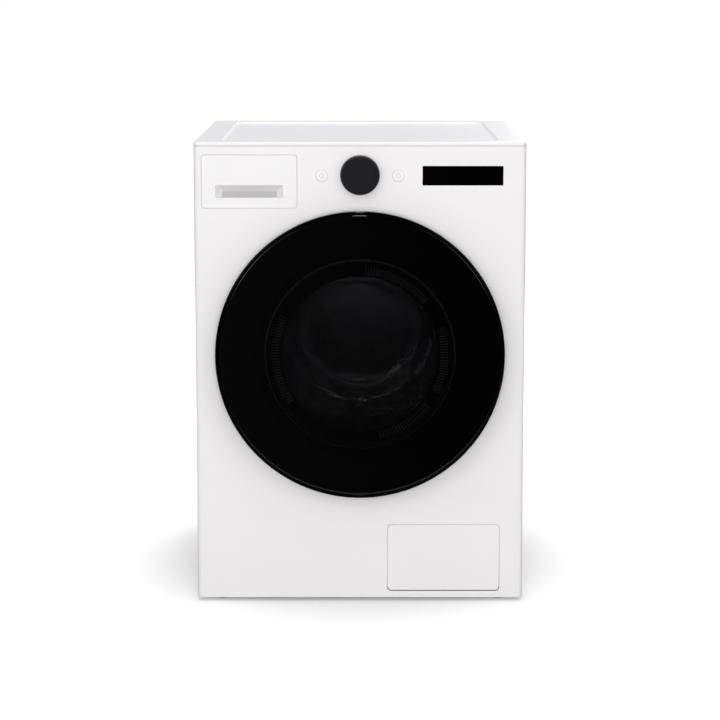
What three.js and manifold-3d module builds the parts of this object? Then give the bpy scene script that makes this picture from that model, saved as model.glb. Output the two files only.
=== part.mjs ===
// Front load washing machine. Millimetres: X to the right, the front towards -Y, Z up, with the origin on
// the floor under the middle of the bounding box. Each mesh is one closed piece of the machine.

import * as THREE from 'three';
import { mergeVertices } from 'three/addons/utils/BufferGeometryUtils.js';
import Module from 'manifold-3d';

const wasm = await Module();
wasm.setup();

// Overall sizes
const cabinetWidth = 700;
const cabinetHeight = 990;
const cabinetDepth = 775; // front panel face to rear panel face
const doorProud = 45;
const spigotProud = 10;

// Sheet metal and fits
const sheet = 1.2;
const gap = 0.3; // between pieces that touch
const cutLine = 1.7; // visible line round the drawer front and the filter flap
const past = 1; // how far a cutting shape runs past the face that it cuts

// Cabinet
const cornerRadius = 10;
const frontReturn = 14;
const panelBottom = 8;
const topCoverHeight = 8.5;
const topRim = 55;
const topRecess = 5;
const sideFrontFlange = 10;
const sideRearFlange = 13;
const baseBottom = 12;
const baseRim = 28;
const footInset = 50;
const footRadius = 26;
const stemRadius = 6;

// Drum, tub and motor, on one level axis along Y
const axisHeight = 542;
const drumRadius = 268;
const drumWall = 1;
const drumDepth = 471;
const tubClearance = 18; // drum to tub wall
const tubWall = 3.5;
const tubSetback = 70; // front panel face to tub front wall
const tubDepth = 550;
const tubFrontHalf = 280;
const mouthRadius = 196;
const mouthLength = 24;
const drumSetback = 24; // tub front wall to drum front
const hubRadius = 44;
const frontBearing = { inner: 15, outer: 36, width: 20 };
const rearBearing = { inner: 12.5, outer: 31, width: 20 };
const statorRadius = 135;
const rotorRadius = 147;
const baffleHeight = 50;

// Door
const portholeRadius = 215;
const doorRadius = 306;
const glassRadius = 298;
const glassThickness = 5;
const frameWall = 2.5;
const doorBackClearance = 5.5;
const bowlFlangeRadius = 195.7;
const hingeInset = 14; // from the door's rim to the hinge axis
const hingeDepth = 20; // from the door's front to the hinge axis
const hingePinRadius = 3;
const latchInset = 44;

// Controls and detergent drawer
const controlDrop = 69; // top of the cabinet to the row of controls
const dialRadius = 41.5;
const dialProud = 22.5;
const buttonRadius = 12.5;
const buttonShare = 39 / 91.1; // place of a button from the dial's rim towards the drawer
const controlShare = 16 / 33.3; // place of the control housing's wall from the drawer housing towards a button
const buttonFlange = 1.7;
const displayLeft = 132;
const displayWidth = 169;
const displayHeight = 40;
const drawerLeft = -333.4;
const drawerWidth = 200.8;
const drawerHeight = 112;
const drawerDrop = 27.5; // top of the cabinet to the drawer front
const drawerDepth = 253;
const traySide = 2.5;

// Filter flap and drain
const flapLeft = 58.3;
const flapWidth = 242.7;
const flapBottom = 22;
const flapHeight = 147.8;
const pumpRadius = 38;
const hoseRadius = 14;
const drainRadius = 10;

// Sides of the round pieces
const doorSides = 36;
const roundSides = 32;
const smallSides = 12;
const hoseSides = 6;

// Places worked out from the sizes
const half = cabinetWidth / 2;
const frontY = -(cabinetDepth + doorProud + spigotProud) / 2 + doorProud;
const rearY = frontY + cabinetDepth;
const doorY = frontY - doorProud;
const panelBack = frontY + sheet;
const panelTop = cabinetHeight - topCoverHeight - 0.5;
const insideX = half - sheet - gap; // what fits between the side panels
const tubRadius = drumRadius + tubClearance + tubWall;
const tubFrontY = frontY + tubSetback;
const tubRearY = tubFrontY + tubDepth;
const splitY = tubFrontY + tubFrontHalf;
const mouthY = tubFrontY - mouthLength;
const drumFrontY = tubFrontY + drumSetback;
const drumRearY = drumFrontY + drumDepth;
const hubFrontY = drumRearY + 15;
const controlZ = cabinetHeight - controlDrop;
const drawerTop = cabinetHeight - drawerDrop;
const drawerBottom = drawerTop - drawerHeight;
const drawerRight = drawerLeft + drawerWidth;
const buttonSpread = dialRadius + (-drawerRight - dialRadius) * buttonShare;
const housingSide = 4.6; // from the drawer front to the drawer housing's outer wall
const controlLeft = drawerRight + housingSide
  + (-drawerRight - housingSide - buttonSpread - buttonRadius - buttonFlange) * controlShare;
const drawerRearY = frontY + drawerDepth;
const glassBackY = doorY + glassThickness;
const doorBackY = frontY - doorBackClearance;
const hinge = { x: -(doorRadius - hingeInset), y: doorY + hingeDepth };
const latchX = doorRadius - latchInset;
const springX = drumRadius - 33;
const springY = splitY - 25;
const braceBottom = panelTop - 31;
const springFoot = axisHeight + heightInTub(springX - 14) + 20.5;
const damperX = 200;
const damperY = splitY + 60;
const damperTop = 305;
const dispenser = { x: -165, y: -140 };
const sump = { halfWidth: 55, front: splitY + 10, length: 210, bottom: axisHeight - tubRadius - 29 };
const sumpOutlet = { x: 30, y: splitY + 140, bottom: sump.bottom - 18 };
const pump = { x: flapLeft + flapWidth / 2, z: flapBottom + flapHeight / 2, front: frontY + 20 };
const pumpInlet = { x: pump.x - 62, y: pump.front + 80 };
const pumpOutlet = { y: pump.front + 100, top: pump.z + 56 };
const drainPort = { x: half - 32, z: 830 };
const valve = { x: 30 - springX, z: cabinetHeight - 65, spread: 35 };
const gland = { x: 230, z: cabinetHeight - 90 };

// Finishes
const enamel = { color: 0xf0eff0, roughness: 0.35 };
const galvanised = { color: 0xa9adb0, roughness: 0.45, metalness: 0.8 };
const steel = { color: 0xc9cccf, roughness: 0.25, metalness: 1 };
const castAluminium = { color: 0x9ea2a6, roughness: 0.5, metalness: 0.8 };
const blackPlastic = { color: 0x1d1d20, roughness: 0.4 };
const charcoal = { color: 0x2b2a2f, roughness: 0.35 };
const greyPlastic = { color: 0x8d9196, roughness: 0.6 };
const whitePlastic = { color: 0xf2f2f2, roughness: 0.45 };
const tubPlastic = { color: 0xc4c6c4, roughness: 0.6 };
const bluePlastic = { color: 0x5b84b5, roughness: 0.5 };
const rubber = { color: 0x4a4c4f, roughness: 0.85 };
const clearGlass = { color: 0x30363c, roughness: 0.05 };
const darkGlass = { color: 0x08080a, roughness: 0.05 };
const concrete = { color: 0x8e8c88, roughness: 0.9 };
const copper = { color: 0xa8653a, roughness: 0.4, metalness: 0.8 };
const boardGreen = { color: 0x2d6b3f, roughness: 0.5 };

const machine = new THREE.Group();

// A closed three.js geometry as a solid that can be cut and joined
function solid(geometry) {
  geometry.deleteAttribute('normal');
  geometry.deleteAttribute('uv');
  const merged = mergeVertices(geometry, 1e-4);
  const corners = merged.index.array;
  const [a, b, c] = [0, 1, 2].map(() => new THREE.Vector3());
  const kept = [];
  let volume = 0;
  for (let i = 0; i < corners.length; i += 3) {
    const [p, q, r] = corners.slice(i, i + 3);
    if (p === q || q === r || r === p) continue;
    kept.push(p, q, r);
    a.fromBufferAttribute(merged.attributes.position, p);
    b.fromBufferAttribute(merged.attributes.position, q);
    c.fromBufferAttribute(merged.attributes.position, r);
    volume += a.dot(b.cross(c));
  }
  if (volume < 0) kept.reverse();
  const vertProperties = new Float32Array(merged.attributes.position.array);
  const triVerts = new Uint32Array(kept);
  return new wasm.Manifold(new wasm.Mesh({ numProp: 3, vertProperties, triVerts }));
}

function meshOf(name, finish, shape) {
  const { vertProperties, triVerts } = shape.getMesh();
  const geometry = new THREE.BufferGeometry();
  geometry.setAttribute('position', new THREE.BufferAttribute(vertProperties, 3));
  geometry.setIndex(new THREE.BufferAttribute(triVerts, 1));
  geometry.computeVertexNormals();
  const mesh = new THREE.Mesh(geometry, new THREE.MeshStandardMaterial(finish));
  mesh.name = name;
  return mesh;
}

function piece(name, finish, shape) {
  machine.add(meshOf(name, finish, shape));
}

// A box from its low and high X, Y and Z
function box(x, y, z) {
  const geometry = new THREE.BoxGeometry(x[1] - x[0], y[1] - y[0], z[1] - z[0]);
  return solid(geometry.translate((x[0] + x[1]) / 2, (y[0] + y[1]) / 2, (z[0] + z[1]) / 2));
}

// A flat outline pushed along an axis: drawn in YZ for X, in XZ for Y and in XY for Z
function prism(shape, axis, from, to, roundness = 6) {
  const depth = to - from;
  const geometry = new THREE.ExtrudeGeometry(shape, { depth, bevelEnabled: false, curveSegments: roundness });
  const x = new THREE.Vector3(1, 0, 0);
  const y = new THREE.Vector3(0, 1, 0);
  const z = new THREE.Vector3(0, 0, 1);
  const turn = new THREE.Matrix4();
  if (axis === 'X') turn.makeBasis(y, z, x);
  if (axis === 'Y') turn.makeBasis(x, z, y.negate());
  geometry.translate(0, 0, axis === 'Y' ? -to : from);
  return solid(geometry.applyMatrix4(turn));
}

function disc(u, v, radius) {
  return new THREE.Shape().absarc(u, v, radius, 0, 2 * Math.PI);
}

function polygon(points) {
  return new THREE.Shape(points.map(([u, v]) => new THREE.Vector2(u, v)));
}

function roundedRect(u0, u1, v0, v1, radius) {
  const shape = new THREE.Shape();
  shape.absarc(u1 - radius, v1 - radius, radius, 0, Math.PI / 2);
  shape.absarc(u0 + radius, v1 - radius, radius, Math.PI / 2, Math.PI);
  shape.absarc(u0 + radius, v0 + radius, radius, Math.PI, 1.5 * Math.PI);
  shape.absarc(u1 - radius, v0 + radius, radius, 1.5 * Math.PI, 2 * Math.PI);
  return shape;
}

// A profile of [radius, height] points, closed unless it starts and ends on the axis
function latheOf(profile, segments) {
  const points = profile.map(([radius, height]) => new THREE.Vector2(radius, height));
  const open = points[0].x === 0 && points[points.length - 1].x === 0;
  if (!open) points.push(points[0].clone());
  return new THREE.LatheGeometry(points, segments);
}

// Turned about an axis along Y, at x and z
function turned(profile, { x = 0, z = axisHeight, segments = roundSides } = {}) {
  return solid(latheOf(profile, segments).translate(x, 0, z));
}

// Turned about an upright axis, at x and y
function post(profile, x, y, segments = smallSides) {
  return solid(latheOf(profile, segments).rotateX(Math.PI / 2).translate(x, y, 0));
}

// The profile of a wall of one thickness along a line of [radius, height] points
function wallProfile(line, thickness) {
  const points = line.map(([radius, height]) => new THREE.Vector2(radius, height));
  const outer = [];
  const inner = [];
  points.forEach((point, i) => {
    const before = points[i - 1] ?? point;
    const after = points[i + 1] ?? point;
    const arriving = point.clone().sub(before).normalize();
    const leaving = after.clone().sub(point).normalize();
    const along = arriving.clone().add(leaving).normalize();
    const straight = arriving.lengthSq() > 0 ? arriving : leaving;
    const reach = thickness / 2 / along.dot(straight);
    outer.push([point.x - along.y * reach, point.y + along.x * reach]);
    inner.unshift([point.x + along.y * reach, point.y - along.x * reach]);
  });
  return [...outer, ...inner];
}

// A hollow hose along a smooth curve through points
function hose(points, radius, wall, steps) {
  const path = new THREE.CatmullRomCurve3(points.map((p) => new THREE.Vector3(...p)), false, 'centripetal');
  const section = disc(0, 0, radius);
  section.holes.push(new THREE.Path().absarc(0, 0, radius - wall, 0, 2 * Math.PI, true));
  return solid(new THREE.ExtrudeGeometry(section, { steps, extrudePath: path, curveSegments: hoseSides / 2 }));
}

class Helix extends THREE.Curve {
  constructor(x, y, low, high, radius, turns) {
    super();
    Object.assign(this, { x, y, low, high, radius, turns });
  }

  getPoint(t) {
    const angle = 2 * Math.PI * this.turns * t;
    const x = this.x + this.radius * Math.cos(angle);
    const y = this.y + this.radius * Math.sin(angle);
    return new THREE.Vector3(x, y, this.low + (this.high - this.low) * t);
  }
}

// A plain round cutter or boss along Y
function barY(x, z, radius, from, to, roundness = 6) {
  return prism(disc(x, z, radius), 'Y', from, to, roundness);
}

function frontPanel() {
  const back = frontY + frontReturn;
  const centreY = frontY + cornerRadius;
  const centreX = half - cornerRadius;
  const section = new THREE.Shape();
  section.moveTo(-half, back);
  section.absarc(-centreX, centreY, cornerRadius, Math.PI, 1.5 * Math.PI);
  section.absarc(centreX, centreY, cornerRadius, 1.5 * Math.PI, 2 * Math.PI);
  section.lineTo(half, back);
  section.lineTo(half - sheet, back);
  section.absarc(centreX, centreY, cornerRadius - sheet, 2 * Math.PI, 1.5 * Math.PI, true);
  section.absarc(-centreX, centreY, cornerRadius - sheet, 1.5 * Math.PI, Math.PI, true);
  section.lineTo(-half + sheet, back);
  const flangeX = [-centreX, centreX];
  const flangeY = [panelBack - sheet / 2, back - gap];
  const porthole = [[0, frontY - past], [portholeRadius, frontY - past], [portholeRadius, back], [0, back]];
  const collarY = [panelBack - sheet / 2, panelBack + 9];
  const collar = [
    [portholeRadius, collarY[0]],
    [portholeRadius + sheet, collarY[0]],
    [portholeRadius + sheet, collarY[1]],
    [portholeRadius, collarY[1]],
  ];
  const cut = [frontY - past, panelBack + past];
  let panel = prism(section, 'Z', panelBottom, panelTop, 4)
    .add(box(flangeX, flangeY, [panelBottom, panelBottom + sheet]))
    .add(box(flangeX, flangeY, [panelTop - sheet, panelTop]))
    .subtract(turned(porthole))
    .add(turned(collar));
  const drawerHole = roundedRect(drawerLeft - cutLine, drawerRight + cutLine,
    drawerBottom - cutLine, drawerTop + cutLine, 6.5 + cutLine);
  const flapHole = roundedRect(flapLeft, flapLeft + flapWidth, flapBottom, flapBottom + flapHeight, 10);
  const displayHole = roundedRect(displayLeft - gap, displayLeft + displayWidth + gap,
    controlZ - 2 - displayHeight / 2 - gap, controlZ - 2 + displayHeight / 2 + gap, 1.5);
  for (const hole of [drawerHole, flapHole, displayHole]) panel = panel.subtract(prism(hole, 'Y', ...cut, 3));
  for (const side of [-1, 1]) {
    panel = panel.subtract(barY(side * buttonSpread, controlZ - 2, buttonRadius + 0.5, ...cut));
  }
  return panel
    .subtract(barY(0, controlZ, 5, ...cut, 6))
    .subtract(box([latchX - 13, latchX + 16], cut, [axisHeight - 13, axisHeight + 13]));
}

function sidePanel(side) {
  const front = frontY + frontReturn + gap;
  const rearFlange = rearY - sheet - gap;
  const outline = [
    [half, front],
    [half, rearY],
    [half - sheet, rearY],
    [half - sheet, rearFlange],
    [half - sideRearFlange, rearFlange],
    [half - sideRearFlange, rearFlange - sheet],
    [half - sheet, rearFlange - sheet],
    [half - sheet, front + sheet],
    [half - sideFrontFlange, front + sheet],
    [half - sideFrontFlange, front],
  ];
  return prism(polygon(outline.map(([x, y]) => [side * x, y])), 'Z', panelBottom, panelTop);
}

function rearPanel() {
  const cut = [rearY - sheet - past, rearY + past];
  const opening = [[0, cut[0]], [160, cut[0]], [160, cut[1]], [0, cut[1]]];
  let panel = box([-insideX, insideX], [rearY - sheet, rearY], [panelBottom, panelTop])
    .subtract(turned(opening))
    .subtract(barY(drainPort.x, drainPort.z, 15, ...cut))
    .subtract(barY(gland.x, gland.z, 10, ...cut));
  for (const side of [-1, 1]) {
    panel = panel.subtract(barY(valve.x + side * valve.spread, valve.z, 14.5, ...cut));
  }
  return panel;
}

function rearServiceCover() {
  const face = rearY + gap;
  return turned([
    [0, face + 4.5],
    [140, face + 4.5],
    [154, face],
    [172, face],
    [172, face + sheet],
    [154.5, face + sheet],
    [140.5, face + 4.5 + sheet],
    [0, face + 4.5 + sheet],
  ]);
}

// A box whose top is wider than its bottom by flare on each side
function tapered(x, y, z, flare) {
  const geometry = new THREE.BoxGeometry(x[1] - x[0], y[1] - y[0], z[1] - z[0]);
  const place = geometry.attributes.position;
  for (let i = 0; i < place.count; i += 1) {
    if (place.getZ(i) < 0) continue;
    place.setX(i, place.getX(i) + Math.sign(place.getX(i)) * flare);
    place.setY(i, place.getY(i) + Math.sign(place.getY(i)) * flare);
  }
  return solid(geometry.translate((x[0] + x[1]) / 2, (y[0] + y[1]) / 2, (z[0] + z[1]) / 2));
}

function topCover() {
  const bottom = cabinetHeight - topCoverHeight;
  const floor = cabinetHeight - topRecess;
  const outline = roundedRect(-half, half, frontY, rearY, cornerRadius);
  const lid = prism(outline, 'Z', bottom, cabinetHeight, 4);
  const recessX = half - topRim - topRecess;
  const recessY = [frontY + topRim + topRecess, rearY - topRim - topRecess];
  const recess = tapered([-recessX, recessX], recessY, [floor, cabinetHeight + past], topRecess + past);
  const skin = sheet * 1.4;
  const under = tapered(
    [-recessX - skin, recessX + skin],
    [recessY[0] - skin, recessY[1] + skin],
    [floor - sheet, cabinetHeight + past],
    topRecess + past + sheet,
  );
  const inside = roundedRect(-half + sheet, half - sheet, frontY + sheet, rearY - sheet, cornerRadius - sheet);
  const hollow = prism(inside, 'Z', bottom - past, cabinetHeight - sheet, 4).subtract(under);
  return lid.subtract(recess).subtract(hollow);
}

function crossBrace() {
  const y = [springY - 17, springY + 17];
  const walls = 1.5;
  let brace = box([-insideX, insideX], y, [braceBottom, braceBottom + 25])
    .subtract(box([-half, half], [y[0] + walls, y[1] - walls], [braceBottom - past, braceBottom + 25 - walls]));
  for (const side of [-1, 1]) {
    const x = [side * springX - 10, side * springX + 10];
    brace = brace.add(box(x, [y[0] + walls / 2, y[1] - walls / 2], [braceBottom, braceBottom + 3]));
  }
  return brace;
}

const footPlaces = [-1, 1].flatMap((side) => [
  { x: side * (half - footInset), y: frontY + footInset, name: side < 0 ? 'front_left' : 'front_right' },
  { x: side * (half - footInset), y: rearY - footInset + 10, name: side < 0 ? 'rear_left' : 'rear_right' },
]);

function basePan() {
  const y = [frontY + frontReturn + 2 + gap, rearY - 2 * sheet - 2 * gap];
  const top = baseBottom + baseRim;
  let pan = box([-insideX, insideX], y, [baseBottom, top]).subtract(
    box([-insideX + sheet, insideX - sheet], [y[0] + sheet, y[1] - sheet], [baseBottom + sheet, top + past]),
  );
  for (const { x, y: footY } of footPlaces) {
    pan = pan
      .add(prism(disc(x, footY, 13), 'Z', baseBottom + sheet / 2, baseBottom + 23, 6))
      .subtract(prism(disc(x, footY, stemRadius + 0.6), 'Z', baseBottom - past, baseBottom + 24, 6));
  }
  return pan;
}

function foot({ x, y }) {
  return post([
    [0, 0],
    [footRadius - 2, 0],
    [footRadius, 3],
    [footRadius - 3, 9],
    [12, 9],
    [12, baseBottom - gap],
    [stemRadius, baseBottom - gap],
    [stemRadius, 45],
    [0, 45],
  ], x, y);
}

function displayWindow() {
  const z = [controlZ - 2 - displayHeight / 2, controlZ - 2 + displayHeight / 2];
  const x = [displayLeft, displayLeft + displayWidth];
  const face = prism(roundedRect(...x, ...z, 1.2), 'Y', frontY, frontY + 3.6, 3);
  return face.add(box([x[0] - 3, x[1] + 3], [panelBack + gap, frontY + 3.6], [z[0] - 3, z[1] + 3]));
}

const boardFront = frontY + 18;
const boardBack = boardFront + 1.6;

function controlBoard() {
  let board = box([controlLeft + 7, 311], [boardFront, boardBack], [controlZ - 33, controlZ + 31])
    .add(box([-13, 13], [boardFront - 14, boardFront + 0.5], [controlZ - 13, controlZ + 13]))
    .add(box([136, 297], [boardFront - 13, boardFront + 0.5], [controlZ - 18, controlZ + 14]))
    .subtract(barY(0, controlZ, 3.5, boardFront - 15, boardFront - 3.5, 6));
  for (const side of [-1, 1]) {
    const x = side * buttonSpread;
    board = board.add(box([x - 5, x + 5], [boardFront - 2.5, boardFront + 0.5], [controlZ - 7, controlZ + 3]));
  }
  return board;
}

function controlHousing() {
  const x = [controlLeft, 318];
  const z = [controlZ - 39, controlZ + 37];
  const walls = 2;
  const back = boardBack + gap + walls;
  const inner = [[x[0] + walls, x[1] - walls], [frontY, back - walls], [z[0] + walls, z[1] - walls]];
  return box(x, [panelBack + gap, back], z).subtract(box(...inner));
}

function dialKnob() {
  const face = frontY - dialProud;
  const back = frontY - 0.8;
  const inside = face + 4;
  return turned([
    [0, face],
    [dialRadius - 4.5, face],
    [dialRadius - 1.3, face + 2],
    [dialRadius, face + 5.5],
    [dialRadius, back],
    [dialRadius - 3, back],
    [dialRadius - 3, inside],
    [8, inside],
    [8, back],
    [3, back],
    [3, boardFront - 5],
    [0, boardFront - 5],
  ], { z: controlZ, segments: roundSides });
}

function pushButton(side) {
  const flange = panelBack + 0.4;
  return turned([
    [0, frontY - 1.2],
    [buttonRadius - 1, frontY - 1.2],
    [buttonRadius, frontY - 0.4],
    [buttonRadius, flange],
    [buttonRadius + buttonFlange, flange],
    [buttonRadius + buttonFlange, flange + 2],
    [3, flange + 2],
    [3, boardFront - 5],
    [0, boardFront - 5],
  ], { x: side * buttonSpread, z: controlZ - 2, segments: smallSides });
}

const drawerFrontBack = frontY + 30;

function drawerFront() {
  const skin = 3;
  const depth = [frontY, drawerFrontBack];
  const rect = (inset, radius) => roundedRect(drawerLeft + inset, drawerRight - inset,
    drawerBottom + inset, drawerTop - inset, radius);
  const gripX = [drawerLeft + 27.9, drawerRight - 28.4];
  const gripZ = [drawerBottom + 22.5, drawerTop - 63];
  const pocket = polygon([
    [frontY - past, gripZ[1]],
    [frontY, gripZ[1]],
    [frontY + 19, gripZ[1] - 11.5],
    [frontY + 21, gripZ[1] - 14.5],
    [frontY + 21, gripZ[0] - 3.5],
    [frontY + skin, gripZ[0] - 3.5],
    [frontY + skin, gripZ[0]],
    [frontY - past, gripZ[0]],
  ]);
  return prism(rect(0, 6.5), 'Y', ...depth, 4)
    .subtract(prism(rect(skin, 3.5), 'Y', frontY + skin, depth[1] + past, 4))
    .add(box([gripX[0] - 2.5, gripX[1] + 2.5], [frontY + 1, frontY + 23.5], [gripZ[0] - 6, gripZ[1] + 2.5]))
    .subtract(prism(pocket, 'X', ...gripX));
}

function drawerTray() {
  const x = [drawerLeft + 3.4, drawerRight - 3.4];
  const y = [drawerFrontBack + gap, drawerRearY];
  const z = [drawerBottom + 2.5, drawerTop - 17.5];
  const dividers = [x[0] + 58, x[0] + 146];
  const edges = [x[0], ...dividers, x[1] - traySide];
  let tray = box(x, y, z);
  for (let i = 0; i < edges.length - 1; i += 1) {
    const room = [edges[i] + traySide, edges[i + 1]];
    tray = tray.subtract(box(room, [y[0] + traySide, y[1] - traySide], [z[0] + traySide, z[1] + past]));
  }
  return tray;
}

const housing = {
  x: [drawerLeft - housingSide, drawerRight + housingSide],
  rear: drawerRearY + 9,
  z: [drawerBottom - 4.5, drawerTop + 4.5],
};

function drawerHousing() {
  const { x, z, rear } = housing;
  const inner = [[x[0] + traySide, x[1] - traySide], [frontY, rear - traySide], [z[0] + traySide, z[1] - traySide]];
  const spout = [z[0] - 18, z[0] + traySide / 2];
  return box(x, [panelBack + gap, rear], z)
    .add(prism(disc(dispenser.x, dispenser.y, 16), 'Z', ...spout, 5))
    .add(barY(valve.x, valve.z + 5, 9, rear - 1, rear + 20, 5))
    .subtract(box(...inner))
    .subtract(prism(disc(dispenser.x, dispenser.y, 13), 'Z', spout[0] - past, z[0] + 5, 5))
    .subtract(barY(valve.x, valve.z + 5, 6, rear - 5, rear + 21, 5));
}

function doorGlass() {
  return turned([
    [0, doorY],
    [200, doorY + 0.2],
    [glassRadius - 13, doorY + 0.8],
    [glassRadius, doorY + 2.4],
    [glassRadius, glassBackY],
    [0, glassBackY],
  ], { segments: doorSides });
}

function doorFrame() {
  const seat = glassBackY + gap;
  const lipFront = doorY + 2;
  const rimBack = hinge.y + 3;
  const taper = doorRadius - 15;
  const returnRadius = doorRadius - 34;
  const ring = turned([
    [glassRadius + gap, lipFront],
    [doorRadius - 2, lipFront],
    [doorRadius, lipFront + 2],
    [doorRadius, rimBack],
    [taper, doorBackY],
    [returnRadius, doorBackY],
    [returnRadius, doorBackY - frameWall],
    [taper - 1.2, doorBackY - frameWall],
    [doorRadius - frameWall, rimBack - 1],
    [doorRadius - frameWall, seat + frameWall],
    [glassRadius - 18, seat + frameWall],
    [glassRadius - 18, seat],
    [glassRadius + gap, seat],
  ], { segments: doorSides });
  const notchX = [-doorRadius - past, hinge.x + 7];
  const notchY = [seat + 0.5, frontY];
  return [-1, 1].reduce((frame, side) => {
    const ends = [axisHeight + side * 33, axisHeight + side * 47].sort((p, q) => p - q);
    return frame.subtract(box(notchX, notchY, ends));
  }, ring);
}

function doorInnerRing() {
  const inner = bowlFlangeRadius + gap;
  const outer = doorRadius - 34 - gap;
  const ring = turned([
    [inner, glassBackY + 4],
    [inner + 3, glassBackY + 4],
    [inner + 3, doorBackY - frameWall],
    [outer, doorBackY - frameWall],
    [outer, doorBackY],
    [inner, doorBackY],
  ], { segments: doorSides });
  const slot = box([latchX - 12, latchX + 14], [doorBackY - 5, frontY], [axisHeight - 11, axisHeight + 11]);
  const ear = (z) => box([latchX - 8, latchX + 8], [doorBackY - 20, doorBackY - frameWall / 2], z);
  const pinHole = prism(disc(latchX, doorBackY - 12.5, 3.3), 'Z', axisHeight - 20, axisHeight + 20, 8);
  return ring
    .add(ear([axisHeight + 11.5, axisHeight + 16]))
    .add(ear([axisHeight - 16, axisHeight - 11.5]))
    .subtract(slot)
    .subtract(pinHole);
}

function doorBowl() {
  const glass = 6;
  const flange = doorBackY - 6;
  return turned(wallProfile([
    [bowlFlangeRadius, flange],
    [181, flange],
    [176, frontY],
    [169, frontY + 20],
    [162, frontY + 40],
    [137, frontY + 80],
    [107, frontY + 97],
    [78, frontY + 103],
    [0, frontY + 103],
  ], glass), { segments: doorSides });
}

function latchHook() {
  const pivotY = doorBackY - 12.5;
  const tip = frontY + 22;
  const z = [axisHeight - 7, axisHeight + 7];
  return box([latchX - 4, latchX + 4], [pivotY, tip], z)
    .add(box([latchX - 4, latchX + 9], [tip - 8, tip], z))
    .add(prism(disc(latchX, pivotY, 6), 'Z', z[0] - 3.5, z[1] + 3.5, 5))
    .add(prism(disc(latchX, pivotY, 3), 'Z', z[0] - 9, z[1] + 9, 5));
}

const knuckle = { radius: 6.5, inner: 34, outer: 42 };

function hingeBracket() {
  const face = frontY - gap;
  let bracket = box([hinge.x - 6, hinge.x + 64], [face - 2.5, face], [axisHeight - 60, axisHeight + 60]);
  for (const side of [-1, 1]) {
    const z = [axisHeight + side * knuckle.inner, axisHeight + side * knuckle.outer].sort((p, q) => p - q);
    bracket = bracket
      .add(box([hinge.x - 6, hinge.x + 6], [hinge.y, face - 1], z))
      .add(prism(disc(hinge.x, hinge.y, knuckle.radius), 'Z', ...z, 5));
  }
  const bore = prism(disc(hinge.x, hinge.y, hingePinRadius + gap), 'Z', axisHeight - 50, axisHeight + 50, 5);
  return bracket.subtract(bore);
}

function hingeLeaf() {
  const z = [axisHeight - knuckle.inner + 0.5, axisHeight + knuckle.inner - 0.5];
  const plate = [hinge.y + 3, hinge.y + 5.5];
  return prism(disc(hinge.x, hinge.y, knuckle.radius), 'Z', ...z, 5)
    .add(box([hinge.x, hinge.x + 58], plate, z))
    .add(box([hinge.x + 31, hinge.x + 58], [plate[0], doorBackY - frameWall - gap], z))
    .subtract(prism(disc(hinge.x, hinge.y, hingePinRadius + gap), 'Z', z[0] - past, z[1] + past, 5));
}

function hingePin() {
  const end = knuckle.outer + gap;
  return post([
    [0, axisHeight - end - 2.5],
    [5, axisHeight - end - 2.5],
    [5, axisHeight - end],
    [hingePinRadius, axisHeight - end],
    [hingePinRadius, axisHeight + end],
    [5, axisHeight + end],
    [5, axisHeight + end + 2.5],
    [0, axisHeight + end + 2.5],
  ], hinge.x, hinge.y);
}

function doorLock() {
  const y = [panelBack + gap, frontY + 29];
  const body = box([latchX - 22, latchX + 28], y, [axisHeight - 42, axisHeight + 42]);
  return body.subtract(box([latchX - 13, latchX + 16], [y[0] - past, y[1] - 3], [axisHeight - 13, axisHeight + 13]));
}

function doorGasket() {
  const thickness = 3;
  const clamp = mouthRadius + tubWall + gap + thickness / 2;
  return turned(wallProfile([
    [portholeRadius - gap - 0.5, frontY + 9],
    [portholeRadius - 10, frontY + 6],
    [191, frontY + 10],
    [180, frontY + 20],
    [187, frontY + 26],
    [206, frontY + 24],
    [209, frontY + 34],
    [clamp, frontY + 42],
    [clamp, tubFrontY - 8],
  ], thickness));
}

// How far above or below the axis the tub's outside is, at x
function heightInTub(x) {
  return Math.sqrt(tubRadius ** 2 - x ** 2);
}

function tubFront() {
  const outerMouth = mouthRadius + tubWall;
  const inner = tubRadius - tubWall;
  const end = splitY - gap / 2;
  const lugX = [springX - 13, springX + 13];
  const lugZ = [springFoot - 50, springFoot - gap];
  const spoutFoot = axisHeight + heightInTub(dispenser.x - 16) - 30;
  const spout = prism(disc(dispenser.x, dispenser.y, 16), 'Z', spoutFoot, axisHeight + 258, 5);
  let shell = turned([[0, mouthY], [outerMouth, mouthY], [outerMouth, tubFrontY], [tubRadius, tubFrontY],
    [tubRadius, end], [0, end]]).add(spout);
  for (const side of [-1, 1]) {
    const x = lugX.map((value) => side * value).sort((p, q) => p - q);
    shell = shell.add(box(x, [springY - 12, springY + 12], lugZ));
  }
  const room = turned([[0, mouthY - past], [mouthRadius, mouthY - past], [mouthRadius, tubFrontY + tubWall],
    [inner, tubFrontY + tubWall], [inner, end + past], [0, end + past]]);
  return shell
    .subtract(room)
    .subtract(prism(disc(dispenser.x, dispenser.y, 13), 'Z', spoutFoot - 10, axisHeight + 260, 5));
}

const frontBearingY = hubFrontY + 12;
const rearBearingY = frontBearingY + 39;

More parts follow.
